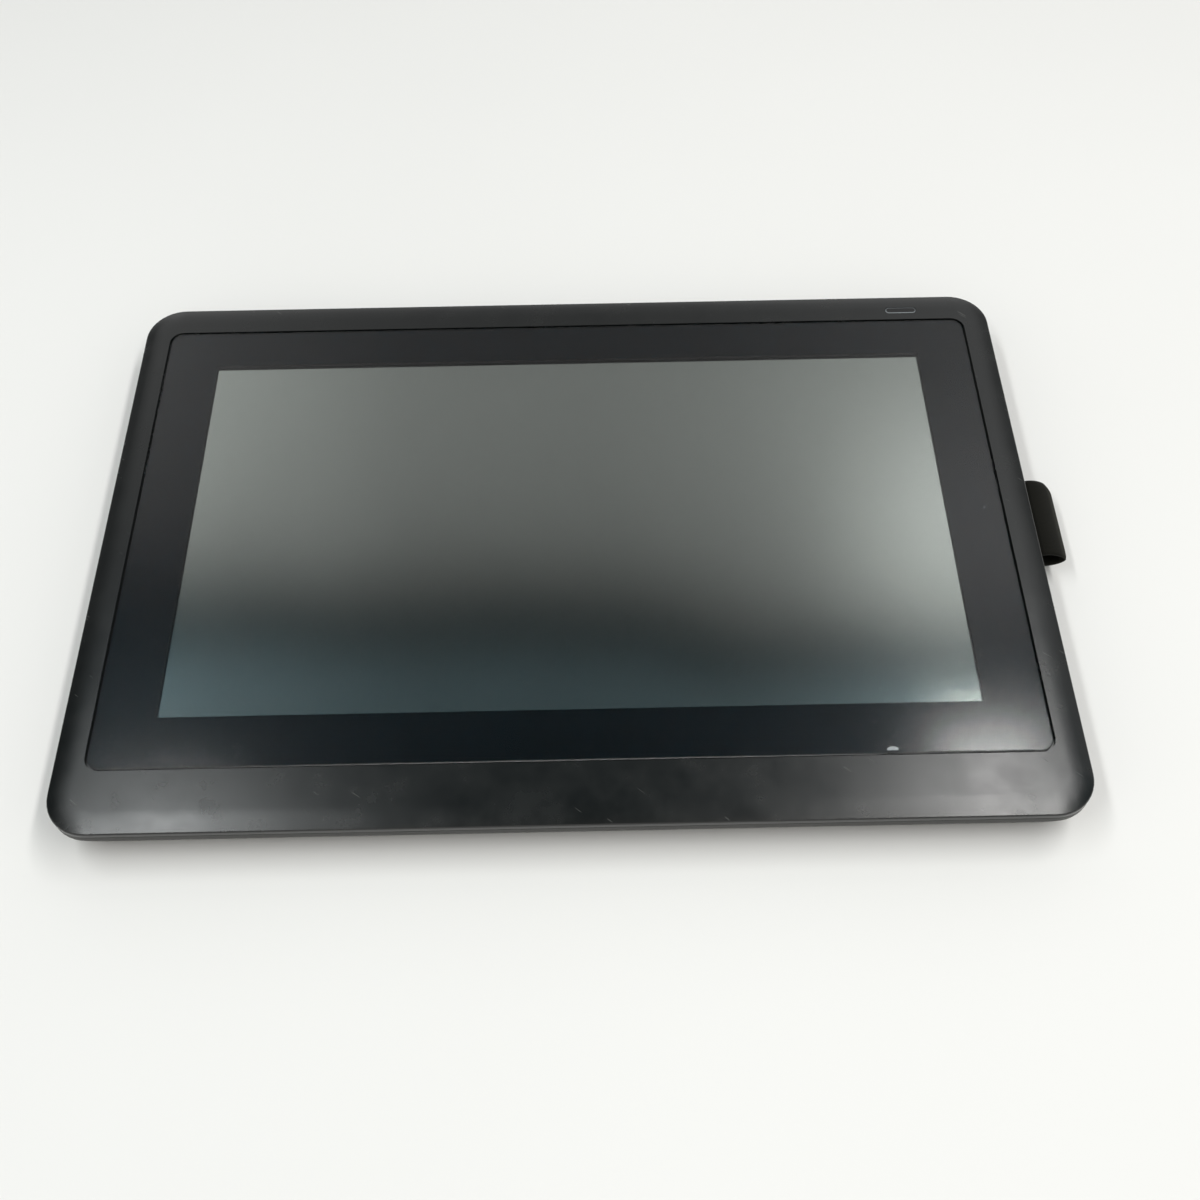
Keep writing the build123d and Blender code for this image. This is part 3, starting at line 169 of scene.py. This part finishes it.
# The wall from the horizon up, by a third of that rise: pale, a soft dark edge, then the ceiling.
wall_stops = [
    (0.0, grey(0.60)), (0.20, grey(0.50)), (0.335, grey(0.35)), (0.365, grey(0.42)), (0.42, grey(0.38)),
    (0.475, grey(0.31)), (0.508, grey(0.19)), (0.538, grey(0.012, teal)), (0.570, grey(0.02, teal)),
    (0.61, grey(0.16, slate)), (0.65, grey(0.13, slate)), (0.72, grey(0.03, teal)),
]
wall = add(tree, "ShaderNodeValToRGB", {"stops": wall_stops}, {"Fac": third.outputs[0]})
half_turn = add(tree, "ShaderNodeMath", {"operation": "MULTIPLY_ADD", 1: 0.5, 2: 0.5}, {0: way.outputs["X"]})
# Its brightness from left to right, by the direction's x.
side_stops = [
    ((x + 1) / 2, grey(level))
    for x, level in (
        (-0.75, 0.35), (-0.45, 0.5), (-0.32, 3.0), (-0.27, 2.0), (-0.14, 1.1), (0, 1.0), (0.09, 1.15), (0.16, 1.5),
        (0.25, 2.0), (0.31, 2.2), (0.42, 0.6), (0.75, 0.35),
    )
]
sides = add(tree, "ShaderNodeValToRGB", {"stops": side_stops}, {"Fac": half_turn.outputs[0]})
# The wall's upper right is brighter still, as by a window.
rightness = add(
    tree,
    "ShaderNodeMapRange",
    {"From Min": 0.14, "From Max": 0.27, "To Max": 2.2, "interpolation_type": "SMOOTHSTEP"},
    {"Value": way.outputs["X"]},
)
highness = add(
    tree,
    "ShaderNodeMapRange",
    {"From Min": 1.08, "From Max": 1.42, "interpolation_type": "SMOOTHSTEP"},
    {"Value": rise.outputs[0]},
)
window = add(tree, "ShaderNodeMath", {"operation": "MULTIPLY"}, {0: rightness.outputs[0], 1: highness.outputs[0]})
gain = add(tree, "ShaderNodeVectorMath", {"operation": "ADD"}, {0: sides.outputs["Color"], 1: window.outputs[0]})
lit_wall = add(
    tree, "ShaderNodeVectorMath", {"operation": "MULTIPLY"}, {0: wall.outputs["Color"], 1: gain.outputs["Vector"]}
)
# The air on the near side, by the direction's height.
front_stops = [
    (0.2, grey(1.05, cream)), (0.45, grey(1.05, cream)), (0.68, grey(0.75)), (0.80, grey(0.15)), (0.92, grey(0.04)),
]
front = add(tree, "ShaderNodeValToRGB", {"stops": front_stops}, {"Fac": way.outputs["Z"]})
frontness = add(
    tree,
    "ShaderNodeMapRange",
    {"From Min": 0.12, "From Max": -0.05, "interpolation_type": "SMOOTHSTEP"},
    {"Value": way.outputs["Y"]},
)
lowness = add(
    tree,
    "ShaderNodeMapRange",
    {"From Min": 0.42, "From Max": 0.34, "interpolation_type": "SMOOTHSTEP"},
    {"Value": way.outputs["Z"]},
)
upper = add(
    tree,
    "ShaderNodeMix",
    {"data_type": "RGBA"},
    {0: frontness.outputs["Result"], 6: lit_wall.outputs["Vector"], 7: front.outputs["Color"]},
)
# All round, the lowest air is as pale as the card.
air = add(
    tree, "ShaderNodeMix", {"data_type": "RGBA", 7: grey(0.88)}, {0: lowness.outputs["Result"], 6: upper.outputs[2]}
)
sky = add(tree, "ShaderNodeBackground", (), {"Color": air.outputs[2]})
add(tree, "ShaderNodeOutputWorld", (), {"Surface": sky.outputs[0]})

# The two ceiling lights: name, middle, width and length in metres, power in watts, colour.
for name, middle, size, power, tint in (
    ("right_ceiling_light", (0.60, -0.085, 1.40), (0.15, 1.35), 13.8, (1, 0.99, 0.97)),
    ("left_ceiling_light", (-0.64, -0.13, 1.40), (0.16, 1.25), 10.0, (0.97, 1, 1)),
):
    lamp = bpy.data.lights.new(name, "AREA")
    lamp.shape, lamp.energy, lamp.color = "RECTANGLE", power, tint
    lamp.size, lamp.size_y = size
    holder = bpy.data.objects.new(name, lamp)
    holder.location = middle
    scene.collection.objects.link(holder)

# The camera looks about 57 degrees down, with a roll of one degree.
view = bpy.data.cameras.new("photo_view")
view.sensor_width, view.lens = 36.0, 40.7
camera = bpy.data.objects.new("photo_view", view)
camera.location = (0.00458, -0.3569, 0.52379)
camera.rotation_euler = [math.radians(a) for a in (32.6, 0.476, -1.057)]
scene.collection.objects.link(camera)
scene.camera = camera


# Screen module: tray, lamps, plates and films.
# A pressed aluminium tray holds a white reflector, a clear acrylic light guide with its lamps along
# the near side, and white films under the liquid crystal cell. All of it hides under the black print.


def dress(node, made):
    """Gives a CAD node this finish."""
    held = nodes[node].data.materials
    held.clear()
    held.append(made)


def mottled(name, dark, light, grain_mm, rough=0.5, metal=0.0, bump=0.0, **sockets):
    """A finish whose tone drifts between two colours over a grain of this many millimetres."""
    made, tree, shader = finish(name, Roughness=rough, Metallic=metal, **sockets)
    place = add(tree, "ShaderNodeTexCoord")
    drift = add(
        tree, "ShaderNodeTexNoise", {"Scale": 1 / (grain_mm * mm), "Detail": 2.0}, {"Vector": place.outputs["Object"]}
    )
    tone = add(
        tree, "ShaderNodeValToRGB", {"stops": [(0.3, linear(dark)), (0.7, linear(light))]}, {"Fac": drift.outputs[0]}
    )
    tree.links.new(tone.outputs["Color"], shader.inputs["Base Color"])
    if bump:
        relief = add(tree, "ShaderNodeBump", {"Strength": bump, "Distance": 0.05 * mm}, {"Height": drift.outputs[0]})
        tree.links.new(relief.outputs["Normal"], shader.inputs["Normal"])
    return made


# Rolled aluminium sheet: bright, with a faint long-grained haze.
rolled_aluminium = mottled("rolled_aluminium", "#b4b6b8", "#c9cacb", 6.0, rough=0.38, metal=1.0, bump=0.2)
# Polyester film with white pigment: silky and even.
white_film = mottled("white_polyester_film", "#e6e7e4", "#f2f2ee", 12.0, rough=0.45)
# Cast acrylic: clear and polished, a little green at its edges.
clear_acrylic = mottled("cast_acrylic", "#cfdcd6", "#dfe8e4", 20.0, rough=0.08)
# Foam tape: black, closed cells.
foam_tape = mottled("foam_tape", "#131313", "#1d1d1d", 0.8, rough=0.9, bump=0.6)
# Flexible film circuit: amber polyimide.
amber_film = mottled("polyimide_film", "#7a4d12", "#8d5d1c", 3.0, rough=0.35)
# Glass cell: dark grey panes with metal traces.
cell_panes = mottled("cell_panes", "#3c4240", "#464c49", 8.0, rough=0.2)
for node, made in {
    "panel_tray": rolled_aluminium,
    "reflector_sheet": white_film,
    "light_bar": white_film,
    "light_guide_plate": clear_acrylic,
    "film_stack": white_film,
    "lcd_cell": cell_panes,
    "panel_gasket": foam_tape,
    "driver_tabs": amber_film,
}.items():
    dress(node, made)


# Front polariser.
# A plastic film bonded on the cell: the grey face that the eye takes for the screen when it is off.
# It mirrors the room softly, dimmed by the dyes of the film and the metal grid of the cell behind it.
screen_width, screen_depth, screen_y = 344.16, 193.59, 6.8
# The frame is centred on the whole object with its pen loop; the body's middle lies this far to the left.
body_shift = 7.05
# Iodine-dyed film over a metal grid: a soft grey-green mirror.
polariser_film, tree, shader = finish("polariser_film", Metallic=1.0, Roughness=0.045)
place = add(tree, "ShaderNodeTexCoord")
# Sparkle: pixels of 0.18 mm on the real cell, drawn at 0.7 mm so that they show.
sparkle = add(tree, "ShaderNodeTexNoise", {"Scale": 1 / (0.7 * mm), "Detail": 1.0}, {"Vector": place.outputs["Object"]})
lit = add(
    tree,
    "ShaderNodeValToRGB",
    {"stops": [(0.30, linear("#a5aca6")), (0.70, linear("#c5ccc6"))]},
    {"Fac": sparkle.outputs[0]},
)
# The dead rim round the picture area, where the cell carries only its traces.
centred = add(
    tree,
    "ShaderNodeMapping",
    {"Location": (body_shift * mm, -screen_y * mm, 0)},
    {"Vector": place.outputs["Object"]},
)
across = add(tree, "ShaderNodeSeparateXYZ", (), {"Vector": centred.outputs[0]})
out_x = add(tree, "ShaderNodeMath", {"operation": "ABSOLUTE"}, {0: across.outputs["X"]})
out_y = add(tree, "ShaderNodeMath", {"operation": "ABSOLUTE"}, {0: across.outputs["Y"]})
past_x = add(tree, "ShaderNodeMath", {"operation": "GREATER_THAN", 1: screen_width / 2 * mm}, {0: out_x.outputs[0]})
past_y = add(tree, "ShaderNodeMath", {"operation": "GREATER_THAN", 1: screen_depth / 2 * mm}, {0: out_y.outputs[0]})
rim = add(tree, "ShaderNodeMath", {"operation": "MAXIMUM"}, {0: past_x.outputs[0], 1: past_y.outputs[0]})
face = add(
    tree, "ShaderNodeMix", {"data_type": "RGBA", 7: linear("#565c59")}, {0: rim.outputs[0], 6: lit.outputs["Color"]}
)
tree.links.new(face.outputs[2], shader.inputs["Base Color"])
dress("front_polariser", polariser_film)


# Pen sensor, boards and mid plate.
# Green glass-fibre boards with black packages, tinned screen cans and white flat cables, held on a
# folded aluminium mid plate with zinc-plated screws.

# Solder mask on glass fibre: deep green and glossy.
solder_mask = mottled("solder_mask_board", "#0d3a24", "#12472d", 5.0, rough=0.35)
# Transfer-moulded epoxy: dull black, with a fine cloudiness.
black_epoxy = mottled("moulded_epoxy", "#141414", "#1c1c1c", 1.5, rough=0.6)
# Tin-plated steel: soft warm silver.
tinned_sheet = mottled("tinned_sheet", "#b9b9b4", "#c8c8c3", 4.0, rough=0.3, metal=1.0)
# Zinc-plated steel: bright, a little blue.
zinc_steel = mottled("zinc_plated_steel", "#a7a9ac", "#bcbdbf", 2.0, rough=0.32, metal=1.0)
# Polyester-laminated cable: off-white and even.
flat_cable = mottled("white_flat_cable", "#dad9d3", "#e6e5df", 6.0, rough=0.4)
# Annealed foil: grey and broadly hazed.
dull_foil = mottled("shielding_foil", "#8f9092", "#a0a1a3", 9.0, rough=0.5, metal=1.0)
# Phosphor-filled resin: pale yellow.
lamp_resin = mottled("lamp_resin", "#dcd9b8", "#e8e6cc", 1.0, rough=0.3)
# Ungrained moulded ABS: plain black.
inner_plastic = mottled("inner_plastic", "#191919", "#212121", 0.8, rough=0.6, bump=0.2)
for node, made in {
    "sensor_board": solder_mask,
    "sensor_shield": dull_foil,
    "chassis": rolled_aluminium,
    "main_board": solder_mask,
    "main_board_chips": black_epoxy,
    "main_board_shield": tinned_sheet,
    "controller_board": solder_mask,
    "controller_chips": black_epoxy,
    "driver_board": solder_mask,
    "panel_cable": flat_cable,
    "sensor_cable": flat_cable,
    "button_cable": flat_cable,
    "key_board": solder_mask,
    "key_board_parts": lamp_resin,
    "cable_socket": tinned_sheet,
    "lock_plate": zinc_steel,
    "chassis_screws": zinc_steel,
    "board_screws": zinc_steel,
    "key_board_screws": zinc_steel,
    "loop_socket_left": inner_plastic,
    "loop_socket_right": inner_plastic,
}.items():
    dress(node, made)


# Housing, legs and key.
# Injection-moulded ABS blend, black with a hint of olive, spark-grained in the mould so that it
# looks matt. The cover is screwed up from below; the legs hang on steel pins with a leaf spring each.


def grained_plastic(name, dark, light, rough, drift, grain_mm, depth_mm, scratched=0.0):
    """Moulded plastic with the mould's fine grain, hairline scratches and a sheen that hands have rubbed uneven."""
    made, tree, shader = finish(name, IOR=1.55)
    place = add(tree, "ShaderNodeTexCoord")
    where = {"Vector": place.outputs["Object"]}
    grain = add(tree, "ShaderNodeTexNoise", {"Scale": 1 / (grain_mm * mm), "Detail": 2.0}, where)
    handling = add(tree, "ShaderNodeTexNoise", {"Scale": 1 / (16 * mm), "Detail": 5.0, "Roughness": 0.6}, where)
    tone = add(
        tree, "ShaderNodeValToRGB", {"stops": [(0.3, linear(dark)), (0.7, linear(light))]}, {"Fac": handling.outputs[0]}
    )
    # Scratches: a few slanting hairlines about 6 mm long, drawn 0.25 mm wide so that they show.
    slant = add(
        tree,
        "ShaderNodeMapping",
        {"vector_type": "TEXTURE", "Rotation": (0, 0, 0.9), "Scale": (1.0, 14.0, 1.0)},
        {"Vector": place.outputs["Object"]},
    )
    streak = add(tree, "ShaderNodeTexNoise", {"Scale": 1 / (0.9 * mm), "Detail": 0.0}, {"Vector": slant.outputs[0]})
    hairline = add(
        tree,
        "ShaderNodeMapRange",
        {"From Min": 0.83, "From Max": 0.86, "To Max": scratched},
        {"Value": streak.outputs[0]},
    )
    worn = add(
        tree,
        "ShaderNodeMix",
        {"data_type": "RGBA", 7: linear("#4a4c49")},
        {0: hairline.outputs["Result"], 6: tone.outputs["Color"]},
    )
    tree.links.new(worn.outputs[2], shader.inputs["Base Color"])
    sheen = add(
        tree,
        "ShaderNodeMapRange",
        {"From Min": 0.3, "From Max": 0.7, "To Min": rough - drift, "To Max": rough + drift},
        {"Value": handling.outputs[0]},
    )
    tree.links.new(sheen.outputs["Result"], shader.inputs["Roughness"])
    relief = add(tree, "ShaderNodeBump", {"Strength": 0.5, "Distance": depth_mm * mm}, {"Height": grain.outputs[0]})
    tree.links.new(relief.outputs["Normal"], shader.inputs["Normal"])
    return made


# Spark-grained ABS: matt black with a hint of olive; the legs and key, handled more, are a little glossier.
housing_abs = grained_plastic("spark_grained_abs", "#151613", "#1a1b18", 0.5, 0.03, 0.7, 0.02)
leg_abs = grained_plastic("leg_abs", "#161614", "#1b1b18", 0.46, 0.03, 0.7, 0.02)
key_abs = grained_plastic("key_abs", "#161614", "#191917", 0.4, 0.02, 0.7, 0.01)
# Cold-rolled spring steel: bright and smooth.
spring_strip = mottled("spring_steel_strip", "#9fa3a8", "#b3b6ba", 3.0, rough=0.25, metal=1.0)
for node, made in {
    "back_cover": housing_abs,
    "left_leg": leg_abs,
    "right_leg": leg_abs,
    "power_button": key_abs,
    "left_leg_spring": spring_strip,
    "right_leg_spring": spring_strip,
    "left_hinge_pins": zinc_steel,
    "right_hinge_pins": zinc_steel,
    "nib_puller": zinc_steel,
}.items():
    dress(node, made)


# Feet, leg pads and nib holder.
# Black moulded rubber, glued in shallow seats; dust and wear have left it slightly grey. The nibs
# are turned from black acetal rod.

# Rubber: dull, with a pebbled face.
foot_rubber = mottled("moulded_rubber", "#131312", "#1f1e1c", 1.2, rough=0.8, bump=0.5)
# Acetal: black and waxy.
nib_acetal = mottled("nib_acetal", "#161616", "#1c1c1c", 2.0, rough=0.35)
for node in nodes:
    if node.startswith("foot_") or node.endswith("_leg_pad") or node == "nib_holder":
        dress(node, foot_rubber)
dress("spare_nibs", nib_acetal)


# Housing screws.
# Pan-head steel screws, black zinc, each at the bottom of its counterbore with a cross for the
# driver. Twelve hold the housing to the front frame.
head_level, head_radius, head_height = 3.65, 2.5, 1.8
cross_depth, cross_arms, cross_corners = 1.1, 4, ((1.45, -0.38), (1.45, 0.38), (0.5, 0.5))
shank_radius, shank_length, shank_middle = 1.1, 11.0, 7.25
# Their places, from the body's middle.
screw_places = (
    [(s * 193.5, t * 125.015) for s in (-1, 1) for t in (-1, 1)]
    + [(s * 195.0, t * 60.0) for s in (-1, 1) for t in (-1, 1)]
    + [(s * 65.0, t * 126.515) for s in (-1, 1) for t in (-1, 1)]
)
# Black zinc: near black, with a steel gleam.
black_zinc = mottled("black_zinc_plate", "#1c1c1e", "#29292b", 1.0, rough=0.38, metal=1.0)
bm = bmesh.new()
for x, y in screw_places:
    middle = Matrix.Translation(((x - body_shift) * mm, y * mm, head_level * mm))
    rim = bmesh.ops.create_circle(bm, segments=24, radius=head_radius * mm, matrix=middle)["verts"]
    cross = []
    for turn in range(cross_arms):
        turned = middle @ Matrix.Rotation(turn * math.tau / cross_arms, 4, "Z")
        for px, py in cross_corners:
            cross.append(bm.verts.new(turned @ Vector((px * mm, py * mm, 0))))
    ring = [bm.edges.new(pair) for pair in zip(cross, cross[1:] + cross[:1])]
    outer = [e for e in bm.edges if e.verts[0] in rim and e.verts[1] in rim]
    bmesh.ops.triangle_fill(bm, use_beauty=True, use_dissolve=False, edges=ring + outer)
    down = bmesh.ops.extrude_edge_only(bm, edges=ring)["geom"]
    sunk = [v for v in down if isinstance(v, bmesh.types.BMVert)]
    bmesh.ops.translate(bm, vec=(0, 0, cross_depth * mm), verts=sunk)
    bmesh.ops.contextual_create(bm, geom=[e for e in down if isinstance(e, bmesh.types.BMEdge)])
    up = bmesh.ops.extrude_edge_only(bm, edges=outer)["geom"]
    top = [v for v in up if isinstance(v, bmesh.types.BMVert)]
    bmesh.ops.translate(bm, vec=(0, 0, head_height * mm), verts=top)
    bmesh.ops.contextual_create(bm, geom=[e for e in up if isinstance(e, bmesh.types.BMEdge)])
    bmesh.ops.create_cone(
        bm,
        cap_ends=True,
        segments=12,
        radius1=shank_radius * mm,
        radius2=shank_radius * mm,
        depth=shank_length * mm,
        matrix=middle @ Matrix.Translation((0, 0, shank_middle * mm)),
    )
cover_screw_set = piece("cover_screw_set", bm, black_zinc, "housing")
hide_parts("cover_screws")


# Front frame.
# One moulding in the housing's plastic with a finer, silkier grain, and foam tape for the glass.
# Hands have left hairline scratches on it and rubbed its sheen a little uneven.

# Silk-grained ABS: cooler and blacker than the housing, with a low sheen.
bezel_abs = grained_plastic("silk_grained_abs", "#070a0a", "#0c0f0e", 0.255, 0.03, 0.5, 0.003, scratched=0.5)
half_width, half_depth, corner = 211.0, 142.515, 18.0
# The CAD rim rolls off over its outer 10 mm on a 20 mm curve, down to the lip's upright face; the
# real one is shallower.
roll, cad_curve, real_curve, lip = 10.0, 20.0, 62.0, 1.0
# What lies over these two levels is lifted: the lip's top edge, and the upper face inside it.
lip_top, face_level = 21.2, 22.2
# Edges that turn by less than this are part of a curve.
smooth_under = math.radians(24)
bm = bmesh.new()
bm.from_mesh(nodes["front_bezel"].data)
bmesh.ops.remove_doubles(bm, verts=bm.verts, dist=0.001 * mm)
for v in bm.verts:
    over_x = abs(v.co.x / mm + body_shift) - (half_width - corner)
    over_y = abs(v.co.y / mm) - (half_depth - corner)
    inward = corner - math.hypot(max(over_x, 0), max(over_y, 0)) - min(max(over_x, over_y), 0)
    run = roll - max(inward, lip)
    if run > 0 and v.co.z > (lip_top if inward < lip + 0.05 else face_level) * mm:
        fall = cad_curve - math.sqrt(cad_curve**2 - run**2)
        v.co.z += (fall - real_curve + math.sqrt(real_curve**2 - run**2)) * mm
for edge in bm.edges:
    edge.smooth = len(edge.link_faces) == 2 and edge.calc_face_angle() < smooth_under
front_frame = piece("front_frame", bm, bezel_abs, "housing")
for polygon in front_frame.data.polygons:
    polygon.use_smooth = True
front_frame.modifiers.new("roll_shading", "WEIGHTED_NORMAL").keep_sharp = True
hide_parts("front_bezel")
dress("glass_tape", foam_tape)


# Status light.
# A smoked acrylic light guide set flush in the frame. A painted highlight, a fine paler line, runs
# round the dark lozenge where its edge would catch the light.
light_x, light_y, light_length, light_width, highlight_rim = 161.15, 132.415, 15.2, 3.6, 0.45
# Acrylic with smoke dye: dark and glossy, with a painted highlight of pale grey round its edge.
smoked_acrylic, tree, shader = finish("smoked_acrylic", Roughness=0.2)
place = add(tree, "ShaderNodeTexCoord")
centred = add(
    tree,
    "ShaderNodeMapping",
    {"Location": (-light_x * mm, -light_y * mm, 0)},
    {"Vector": place.outputs["Object"]},
)
across = add(tree, "ShaderNodeSeparateXYZ", (), {"Vector": centred.outputs[0]})
out_x = add(tree, "ShaderNodeMath", {"operation": "ABSOLUTE"}, {0: across.outputs["X"]})
straight = (light_length - light_width) / 2
past = add(tree, "ShaderNodeMath", {"operation": "SUBTRACT", 1: straight * mm}, {0: out_x.outputs[0]})
beyond = add(tree, "ShaderNodeMath", {"operation": "MAXIMUM", 1: 0.0}, {0: past.outputs[0]})
flat = add(tree, "ShaderNodeCombineXYZ", (), {"X": beyond.outputs[0], "Y": across.outputs["Y"]})
away = add(tree, "ShaderNodeVectorMath", {"operation": "LENGTH"}, {0: flat.outputs[0]})
# Painted highlight: the colour turns pale grey over the outer part of the lozenge, up to its outline.
rim = add(
    tree,
    "ShaderNodeMapRange",
    {"From Min": (light_width / 2 - highlight_rim) * mm, "From Max": (light_width / 2 - highlight_rim / 2) * mm},
    {"Value": away.outputs["Value"]},
)
tone = add(
    tree, "ShaderNodeValToRGB", {"stops": [(0.0, linear("#0c0d0e")), (1.0, linear("#7d8386"))]}, {"Fac": rim.outputs[0]}
)
tree.links.new(tone.outputs["Color"], shader.inputs["Base Color"])
dress("status_light", smoked_acrylic)


# Cover glass and its print.
# Toughened glass, its face etched to scatter glare and coated so that it mirrors little more than
# half as much as bare glass, its edge ground. The black border is screen-printed ink on its back.

# Etched glass: clear behind, with soft mirror images on its face.
etched_glass, tree, shader = finish("etched_glass", Transmission_Weight=1.0, IOR=1.37, Roughness=0.14)
place = add(tree, "ShaderNodeTexCoord")
# Etch pits of a few hundredths of a millimetre on the real glass, drawn at 0.5 mm so that they show.
etch = add(tree, "ShaderNodeTexNoise", {"Scale": 1 / (0.5 * mm), "Detail": 1.0}, {"Vector": place.outputs["Object"]})
relief = add(tree, "ShaderNodeBump", {"Strength": 0.15, "Distance": 0.004 * mm}, {"Height": etch.outputs[0]})
tree.links.new(relief.outputs["Normal"], shader.inputs["Normal"])
dress("cover_glass", etched_glass)
# Ink seen through glass: blue-black, with no gloss of its own.
printed_ink = mottled("screen_printed_ink", "#020a0f", "#030d13", 15.0, rough=0.5, Specular_IOR_Level=0.0)
dress("border_print", printed_ink)


# Chips in the ground edge.
# Where something hard has struck it the glass has broken away in small shells. They are part of the
# cover glass and go with it.

# Crushed glass: white and dull.
crushed_glass = mottled("crushed_glass", "#70767a", "#b4b9bb", 0.6, rough=0.6, bump=0.8)
scar_top, scar_depth, scar_corners = 24.46, 0.2, 12
bm = bmesh.new()
# Each scar's middle, length and width in millimetres, and its turn in degrees.
for x, y, length, width, turn in (
    (124.3, -112.6, 4.8, 2.8, 3), (163.2, -112.95, 1.6, 0.5, 2), (158.6, -113.05, 0.9, 0.4, 5),
    (169.5, -113.0, 2.4, 0.32, 1), (177.6, -112.9, 3.2, 0.3, 1), (182.34, 8.4, 0.5, 1.1, 0),
):
    scar = bmesh.ops.create_circle(
        bm,
        cap_ends=True,
        segments=scar_corners,
        radius=0.5 * mm,
        matrix=Matrix.Translation((x * mm, y * mm, scar_top * mm))
        @ Matrix.Rotation(math.radians(turn), 4, "Z")
        @ Matrix.Diagonal((length, width, 1, 1)),
    )["verts"]
    # Its outline wanders, and is cut straight by the glass's edge.
    for i, v in enumerate(scar):
        v.co.x += 0.12 * mm * math.sin(i * 2.3 + x)
        v.co.y = max(v.co.y + 0.1 * mm * math.cos(i * 3.1 + x), (y - 0.3) * mm)
moved = bmesh.ops.extrude_face_region(bm, geom=list(bm.faces))["geom"]
under = [v for v in moved if isinstance(v, bmesh.types.BMVert)]
bmesh.ops.translate(bm, vec=(0, 0, -scar_depth * mm), verts=under)
glass_chips = piece("glass_edge_chips", bm, crushed_glass, "housing")


# Pen loop.
# A band of black elastic webbing, folded to an almond section and stitched round a flat plastic
# tongue that slides into the side of the housing. Use has pressed its outer fold into a crease.
loop_inner, loop_outer, loop_near, loop_far, loop_level = 203.0, 218.05, -13.2, 28.8, 12.5
# Half the section's height, the cloth's thickness, and the rows of mesh along the band.
loop_half, loop_cloth, loop_steps = 4.1, 0.9, 30
neck_middle, neck_reach, neck_thickness = 202.25, 2.0, 2.3
# Woven elastic: ribbed, dull black with olive in it, and a faint bloom of fibres.
elastic_webbing, tree, shader = finish(
    "elastic_webbing", Roughness=0.95, Specular_IOR_Level=0.2, Sheen_Weight=0.04, Sheen_Roughness=0.5
)
place = add(tree, "ShaderNodeTexCoord")
where = {"Vector": place.outputs["Object"]}
# Cords of the weave run round the loop, 0.7 mm apart, crossed by finer threads 0.45 mm apart.
cords = add(
    tree, "ShaderNodeTexWave", {"bands_direction": "Y", "Scale": 0.314 / (0.7 * mm), "Distortion": 0.6}, where
)
threads = add(
    tree, "ShaderNodeTexWave", {"bands_direction": "X", "Scale": 0.314 / (0.45 * mm), "Distortion": 0.8}, where
)
weave = add(tree, "ShaderNodeMath", {"operation": "MULTIPLY"}, {0: cords.outputs["Fac"], 1: threads.outputs["Fac"]})
tone = add(
    tree,
    "ShaderNodeValToRGB",
    {"stops": [(0.0, linear("#070704")), (1.0, linear("#17160d"))]},
    {"Fac": weave.outputs[0]},
)
# Painted highlight on the outer fold: past 215.9 mm out, the cloth's colour turns paler.
across = add(tree, "ShaderNodeSeparateXYZ", (), {"Vector": place.outputs["Object"]})
fold_highlight = add(
    tree,
    "ShaderNodeMapRange",
    {"From Min": 215.9 * mm, "From Max": 216.5 * mm, "To Max": 0.30},
    {"Value": across.outputs["X"]},
)
# Mixes the painted highlight's pale colour into the weave.
cloth = add(
    tree,
    "ShaderNodeMix",
    {"data_type": "RGBA", 7: linear("#33322a")},
    {0: fold_highlight.outputs["Result"], 6: tone.outputs["Color"]},
)
tree.links.new(cloth.outputs[2], shader.inputs["Base Color"])
relief = add(tree, "ShaderNodeBump", {"Strength": 0.7, "Distance": 0.12 * mm}, {"Height": weave.outputs[0]})
tree.links.new(relief.outputs["Normal"], shader.inputs["Normal"])

bm = bmesh.new()
bmesh.ops.create_circle(bm, segments=40, radius=1.0, matrix=Matrix.Rotation(math.pi / 2, 4, "X"))
edge_loop = list(bm.edges)
reach, centre = (loop_outer - loop_inner) / 2, (loop_outer + loop_inner) / 2
# The circle becomes an almond, fullest on the housing's side of its middle.
for v in bm.verts:
    lean = -0.12 * (1 - v.co.x**2)
    v.co.z = math.copysign(abs(v.co.z) ** 1.25, v.co.z) * loop_half * mm
    v.co.x = (centre + reach * (v.co.x + lean)) * mm
    v.co.y = loop_near * mm
    v.co.z += loop_level * mm
for step in range(loop_steps):
    moved = bmesh.ops.extrude_edge_only(bm, edges=edge_loop)["geom"]
    ring = [v for v in moved if isinstance(v, bmesh.types.BMVert)]
    bmesh.ops.translate(bm, vec=(0, (loop_far - loop_near) / loop_steps * mm, 0), verts=ring)
    edge_loop = [e for e in moved if isinstance(e, bmesh.types.BMEdge)]
# The band swells a little along its length and draws in at its ends, most at the far outer corner.
for v in bm.verts:
    along = (v.co.y / mm - loop_near) / (loop_far - loop_near)
    puff = 1 + 0.05 * math.sin(along * 5.1 + 0.6) - 0.06 * (2 * along - 1) ** 4
    v.co.z = loop_level * mm + (v.co.z - loop_level * mm) * puff
    pulled = max(0, (along - 0.86) / 0.14) ** 2 * 0.13 + max(0, (0.08 - along) / 0.08) ** 2 * 0.03
    v.co.x -= (v.co.x - loop_inner * mm) * pulled
bmesh.ops.solidify(bm, geom=bm.faces, thickness=loop_cloth * mm)
# The two ends, pressed flat on the tongue and stitched.
bmesh.ops.create_cube(
    bm,
    size=1.0,
    matrix=Matrix.Translation((neck_middle * mm, (loop_near + loop_far) / 2 * mm, loop_level * mm))
    @ Matrix.Diagonal((neck_reach * mm, (loop_far - loop_near) * mm, neck_thickness * mm, 1)),
)
pen_loop = piece("pen_loop_webbing", bm, elastic_webbing, "pen_loop")
for polygon in pen_loop.data.polygons:
    polygon.use_smooth = True
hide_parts("pen_loop_band")
dress("pen_loop_clip", inner_plastic)
